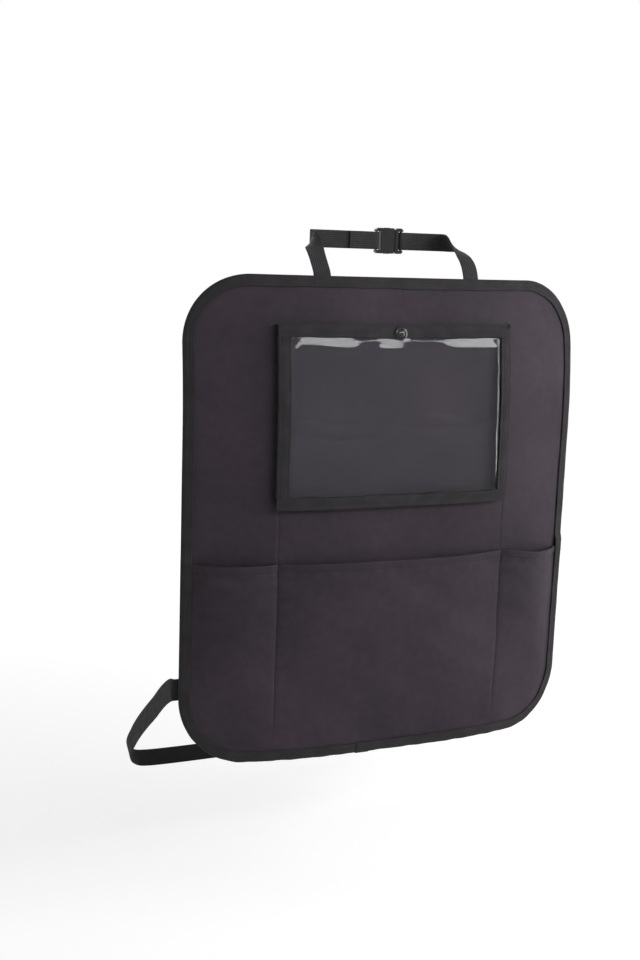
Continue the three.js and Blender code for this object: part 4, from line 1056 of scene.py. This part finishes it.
# %% The strap helpers: the loop round a buckle's bar
def unit(v):
    v = np.asarray(v, float)
    return v / np.linalg.norm(v)


STRAP_THICK, STRAP_FREE = 1.5 * MM, 5 * MM
STRAP_N = -(PANEL_THICK + GAP + TAPE_THICK + 0.5 * MM + STRAP_THICK / 2)
BAR_RADIUS, LOOP_LENGTH, LOOP_TAIL = 1.5 * MM, 14 * MM, 20 * MM
# A buckle's two halves, each with a bar at its end, and the bars' distance from its middle.
BUCKLE_SLOT, BUCKLE_WALL, BUCKLE_CAVITY, BUCKLE_FLANGE = 3.2 * MM, 1.6 * MM, 16 * MM, 4 * MM
SOCKET_LENGTH = 2 * BAR_RADIUS + BUCKLE_SLOT + BUCKLE_WALL + BUCKLE_CAVITY
PLUG_LENGTH = BUCKLE_FLANGE + BUCKLE_SLOT + 2 * BAR_RADIUS
BAR_X = (SOCKET_LENGTH + GAP + PLUG_LENGTH) / 2 - BAR_RADIUS
print("buckle bars apart, mm", round(2 * BAR_X / MM, 1))


def bar_loop():
    """Webbing round a buckle's bar: (distance outside the bar, distance off the strap's plane)."""
    wrap = BAR_RADIUS + GAP + STRAP_THICK / 2
    apart = STRAP_THICK + 2 * GAP
    turn = [(-wrap * math.cos(a), wrap * math.sin(a)) for a in np.radians([90, 45, 0, -45, -90])]
    return [
        (LOOP_LENGTH + LOOP_TAIL, 0), (LOOP_LENGTH, 0), (LOOP_LENGTH / 2, 0.4 * wrap), *turn,
        (LOOP_LENGTH / 2, -0.9 * wrap), (LOOP_LENGTH, -apart), (LOOP_LENGTH + LOOP_TAIL, -apart),
    ]


# %% Top straps: over the seat's shoulder and round the headrest posts
TOP_STRAP_U, TOP_STRAP_WIDTH, TOP_STRAP_SEWN, TOP_BUCKLE_X = 92 * MM, 20 * MM, 28 * MM, 17 * MM
# On the way to the post: the share of the way in x, y and z, and the strap's turn in degrees.
TOP_RUN = [
    (-0.09, 0.14, 0.33, 0), (-0.03, 0.31, 0.57, 4), (0.2, 0.52, 0.78, 22), (0.54, 0.72, 0.92, 52),
    (0.89, 0.88, 0.99, 80),
]


def top_strap(side):
    """From the panel's rear face round the post to the buckle; gives the piece and its length."""
    lean = bend(TOP_STRAP_U, FLAT_HALF_WIDTH, SIDE_RADIUS)[2]
    inwards = np.array([-side * math.cos(lean), -math.sin(lean), 0])
    upright = np.array([0, 0, 1.0])
    points, wides = [], []
    for inside in (TOP_STRAP_SEWN, TOP_STRAP_SEWN / 2, 0, -STRAP_FREE):
        points.append(on_seat(side * TOP_STRAP_U, PANEL_HEIGHT - inside, STRAP_N))
        wides.append(inwards)
    wrap = POST_RADIUS + GAP + STRAP_THICK / 2
    post = np.array([side * POST_X, 0, 0])
    round_post = np.radians([0, 22.5, 45, 67.5, 90])
    arc = [post + [side * wrap * math.cos(a), wrap * math.sin(a), 0] for a in round_post]
    start, way = points[-1], arc[0] - points[-1]
    for x, y, z, degrees in TOP_RUN:
        points.append(start + way * [x, y, z])
        turn = math.radians(degrees)
        wides.append(inwards * math.cos(turn) + upright * math.sin(turn))
    points += arc
    bar = side * BAR_X + TOP_BUCKLE_X
    points += [np.array([bar + side * outside, wrap + off, 0]) for outside, off in bar_loop()]
    wides += [upright] * (len(points) - len(wides))
    rings, length = strap_rings(points, wides, TOP_STRAP_WIDTH, STRAP_THICK)
    return skin(rings, length), length[-1]


for side, name in ((-1, "left"), (1, "right")):
    strap, strap_length = top_strap(side)
    settle(strap, f"headrest_strap_{name}", WEBBING, [f"top_strap_{name}"])
    print("strap length", round(strap_length, 3))

# %% Side straps: round the foot of the backrest
SIDE_STRAP_V, SIDE_STRAP_WIDTH, SIDE_STRAP_SEWN = 84.5 * MM, 25 * MM, 26 * MM
SLOPE, SIDE_STRAP_OUT = math.tan(math.radians(8)), 3.3 * MM
RUN_Y, RUN_DROP = 243 * MM - POST_Y, 162.75 * MM
RUN_TILT, RUN_BEND = math.radians(57), 26 * MM
RUN_Z = SIDE_STRAP_V - PANEL_HEIGHT / 2 - RUN_DROP - POST_Z
SIDE_RUN = [
    (0.85, 0.03, 0.01, 10), (1, 0.09, 0.05, 19), (1, 0.21, 0.15, 28), (1, 0.39, 0.33, 33),
    (1, 0.57, 0.5, 37), (1, 0.74, 0.67, 41), (1, 0.88, 0.83, 49),
]


def side_strap(side):
    """From the panel's rear face along the seat's side to the buckle behind it."""
    points, wides = [], []
    for inside in (SIDE_STRAP_SEWN, SIDE_STRAP_SEWN / 2, 0, -STRAP_FREE):
        u = HALF_WIDTH - inside
        lean = bend(u, FLAT_HALF_WIDTH, SIDE_RADIUS)[2]
        points.append(on_seat(side * u, SIDE_STRAP_V + inside * SLOPE, STRAP_N))
        wides.append(unit(np.array([side * math.cos(lean), math.sin(lean), 0]) * SLOPE + [0, 0, 1]))
    forward = np.array([0, math.cos(RUN_TILT), -math.sin(RUN_TILT)])
    wide = np.array([0, math.sin(RUN_TILT), math.cos(RUN_TILT)])
    outside_x = points[-1][0] + side * SIDE_STRAP_OUT
    centre = np.array([outside_x - side * RUN_BEND, RUN_Y, RUN_Z]) - forward * RUN_BEND
    arc = [
        centre + np.array([side * RUN_BEND * math.cos(a), 0, 0]) + forward * RUN_BEND * math.sin(a)
        for a in np.radians([0, 30, 60, 90])
    ]
    start, way = points[-1], arc[0] - points[-1]
    for x, y, z, degrees in SIDE_RUN:
        points.append(start + way * [x, y, z])
        turn = math.radians(degrees)
        wides.append([0, math.sin(turn), math.cos(turn)])
    points += arc
    bar = side * BAR_X
    points += [np.array([bar + side * outside, RUN_Y, RUN_Z]) + forward * off for outside, off in bar_loop()]
    wides += [wide] * (len(points) - len(wides))
    rings, length = strap_rings(points, wides, SIDE_STRAP_WIDTH, STRAP_THICK, 3 * MM, 10)
    return skin(rings, length), length[-1]


for side, name in ((-1, "left"), (1, "right")):
    strap, strap_length = side_strap(side)
    settle(strap, f"seat_strap_{name}", ELASTIC, [f"side_strap_{name}"])
    print("strap length", round(strap_length, 3))

# %% [markdown]
# ## Buckles
#
# Both buckles are moulded side release buckles. Their solids have the right shape and are
# small in every view, so they stay as they are and get the plastic's finish.

# %% Buckle finish
for node in ("top_buckle_socket", "top_buckle_plug", "side_buckle_socket", "side_buckle_plug"):
    keep_solid(node, PLASTIC)

# %% [markdown]
# ## Stitches
#
# Seams are what makes sewn work look sewn. One stitch is a small spindle of thread. It is
# modelled once and copied along each seam, with each copy turned to the seam's direction.
# The seams run along the binding, round the tapes of the film, along the pocket's hem and
# down its dividers. Where a strap's end is caught under the binding, dense short rows hold
# it, and one cut end of thread stands up from the film's top tape.

# %% One stitch, and the helper that sews it along a line
bpy.ops.object.select_all(action="DESELECT")
bpy.ops.mesh.primitive_uv_sphere_add(segments=6, ring_count=5, radius=1)
spindle = bpy.context.object
stitch_points = np.array([v.co for v in spindle.data.vertices])
stitch_faces = [tuple(p.vertices) for p in spindle.data.polygons]
bpy.data.objects.remove(spindle)


def sew(name, lines, pitch=3.0 * MM, gap=0.7 * MM, radius=0.32 * MM, look=THREAD):
    """Stitches along lines of (points, outward normals)."""
    verts, faces = [], []
    for points, normals in lines:
        total = run_of(points)
        count = max(int(total[-1] / pitch), 1)
        centres = (np.arange(count) + 0.5) * total[-1] / count

        def sample(values, at):
            return np.stack([np.interp(at, total, values[:, k]) for k in range(3)], 1)

        place = sample(points, centres)
        along = sample(points, centres + 0.3 * MM) - sample(points, centres - 0.3 * MM)
        along /= np.linalg.norm(along, axis=1, keepdims=True)
        out = sample(normals, centres)
        out /= np.linalg.norm(out, axis=1, keepdims=True)
        sideways = np.cross(along, out)
        half = (total[-1] / count - gap) / 2
        shape = stitch_points * [radius, radius * 0.8, half]
        for c, a, s, o in zip(place, along, sideways, out):
            start = len(verts)
            verts.extend(c + shape[:, :1] * s + shape[:, 1:2] * o + shape[:, 2:] * a)
            faces.extend(tuple(start + i for i in face) for face in stitch_faces)
    mesh = bpy.data.meshes.new(name)
    mesh.from_pydata([tuple(v) for v in verts], [], faces)
    layer = mesh.uv_layers.new(name="pattern")
    corner = np.zeros(len(mesh.loops), np.int32)
    mesh.loops.foreach_get("vertex_index", corner)
    flat = np.array(verts)[corner]
    layer.data.foreach_set("uv", flat[:, [0, 2]].astype(np.float32).ravel())
    obj = bpy.data.objects.new(name, mesh)
    scene.collection.objects.link(obj)
    return settle(obj, name, look)


def seam(u, v, n):
    """A seam on the pattern, as points with their outward normals."""
    points = on_seat(u, v, n)
    return points, on_seat(u, v, n + MM) - points


# %% Seams of the binding
seams = []
closed_edge = np.vstack([edge, edge[:1]])
top_n = np.append(front, front[0]) + TAPE_THICK / 2 + 0.02 * MM
for inside in BINDING_SEAMS:
    d = inside + np.append(wander + pull, wander[0] + pull[0])
    line_u, line_v = closed_edge[:, 0] + closed_edge[:, 2] * d, closed_edge[:, 1] + closed_edge[:, 3] * d
    seams.append(seam(line_u, line_v, top_n))
sew("stitches_binding", seams)

# %% Seams of the film's tapes
leg_top = HALF_FOLD - 0.04 * MM
tape_seams = []
for d in FRAME_SEAMS:
    across = np.linspace(WINDOW_LEFT + 2 * MM, WINDOW_RIGHT - 2 * MM, 120)
    for v_line in (WINDOW_TOP - d, WINDOW_BOTTOM + d):
        line_v = np.full_like(across, v_line)
        tape_seams.append(seam(across, line_v, film_standoff(across, line_v) + leg_top))
    upright = np.linspace(side_low + 1 * MM, side_high - 1 * MM, 90)
    for side in (-1, 1):
        line_u = np.full_like(upright, WINDOW_CENTRE + side * (WINDOW_HALF - d))
        tape_seams.append(seam(line_u, upright, film_standoff(line_u, upright) + leg_top))
sew("stitches_film_tapes", tape_seams, pitch=2.8 * MM, radius=0.28 * MM)

# %% Seams of the pocket's dividers and hem
pocket_seams = []
line_v = np.linspace(12 * MM, POCKET_HEIGHT - 1 * MM, 100)
above_v = np.linspace(POCKET_HEIGHT + 1 * MM, WINDOW_BOTTOM - GUSSET_FLARE - 1 * MM, 40)
for side in (-1, 1):
    line_u = np.full_like(line_v, side * DIVIDER_U)
    line_n = GAP + POCKET_THICK + hem_share(line_v) * HEM_THICK + pocket_relief(line_u, line_v) + 0.12 * MM
    pocket_seams.append(seam(line_u, line_v, line_n))
    pocket_seams.append(seam(np.full_like(above_v, side * DIVIDER_U), above_v, np.full_like(above_v, -0.45 * MM)))
hem_u = np.linspace(-HALF_WIDTH + 12 * MM, HALF_WIDTH - 12 * MM, 300)
hem_v = np.full_like(hem_u, HEM_BOTTOM + 1.6 * MM)
gape = pocket_gape(hem_u, hem_v)
rolled = (hem_v - (POCKET_HEIGHT - 9 * MM)) / (8 * MM) * np.clip(gape / (3 * MM), 0, 1)
hem_n = GAP + gape + HEM_ROLL * rolled + POCKET_THICK + HEM_THICK + pocket_relief(hem_u, hem_v) - 0.2 * MM
pocket_seams.append(seam(hem_u, hem_v - mouth_sag(hem_u, hem_v), hem_n))
sew("stitches_pockets", pocket_seams)

# %% Bar tacks: dense short rows of thread that hold the straps' ends
TACK_LIFT = TAPE_THICK + 0.32 * MM
tacks = []
for side in (-1, 1):
    for aside in (-8.5, -7.6, 7.6, 8.5):
        down = np.linspace(PANEL_HEIGHT - 1.5 * MM, PANEL_HEIGHT - 9.5 * MM, 9)
        line_u = np.full_like(down, side * TOP_STRAP_U + aside * MM)
        tacks.append(seam(line_u, down, np.full_like(down, GAP + TACK_LIFT)))
    for aside in (-10.5, -9.6, 9.6, 10.5):
        inwards = np.linspace(HALF_WIDTH - 1.5 * MM, HALF_WIDTH - 9.5 * MM, 9)
        line_v = np.full_like(inwards, SIDE_STRAP_V + aside * MM)
        tacks.append(seam(side * inwards, line_v, np.full_like(inwards, 2 * GAP + POCKET_THICK + TACK_LIFT)))
sew("bar_tacks", tacks, pitch=1.1 * MM, gap=0.2 * MM, radius=0.34 * MM)

# %% The cut end of the thread at the right end of the top tape
curl = np.linspace(0, 1, 16)
end_u = WINDOW_RIGHT - 5.0 * MM + 3.6 * MM * np.sin(curl * 4.2)
end_v = WINDOW_TOP - 2.6 * MM + 6.4 * MM * curl
end_n = film_standoff(end_u, end_v) + HALF_FOLD + 0.3 * MM + 1.6 * MM * np.sin(curl * math.pi)
# The thread end takes the gusset's finish, whose dark colour is painted shade.
sew("thread_end", [seam(end_u, end_v, end_n)], pitch=1.2 * MM, gap=-0.6 * MM, radius=0.62 * MM, look=GUSSET_PAINTED_SHADE)

# %% The three sheets: panel, pocket and film
print("sheets", panel.name, pocket.name, film.name)

# %% Size of the finished model
low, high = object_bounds()
print("finished model", [round(v, 3) for v in low], [round(v, 3) for v in high])
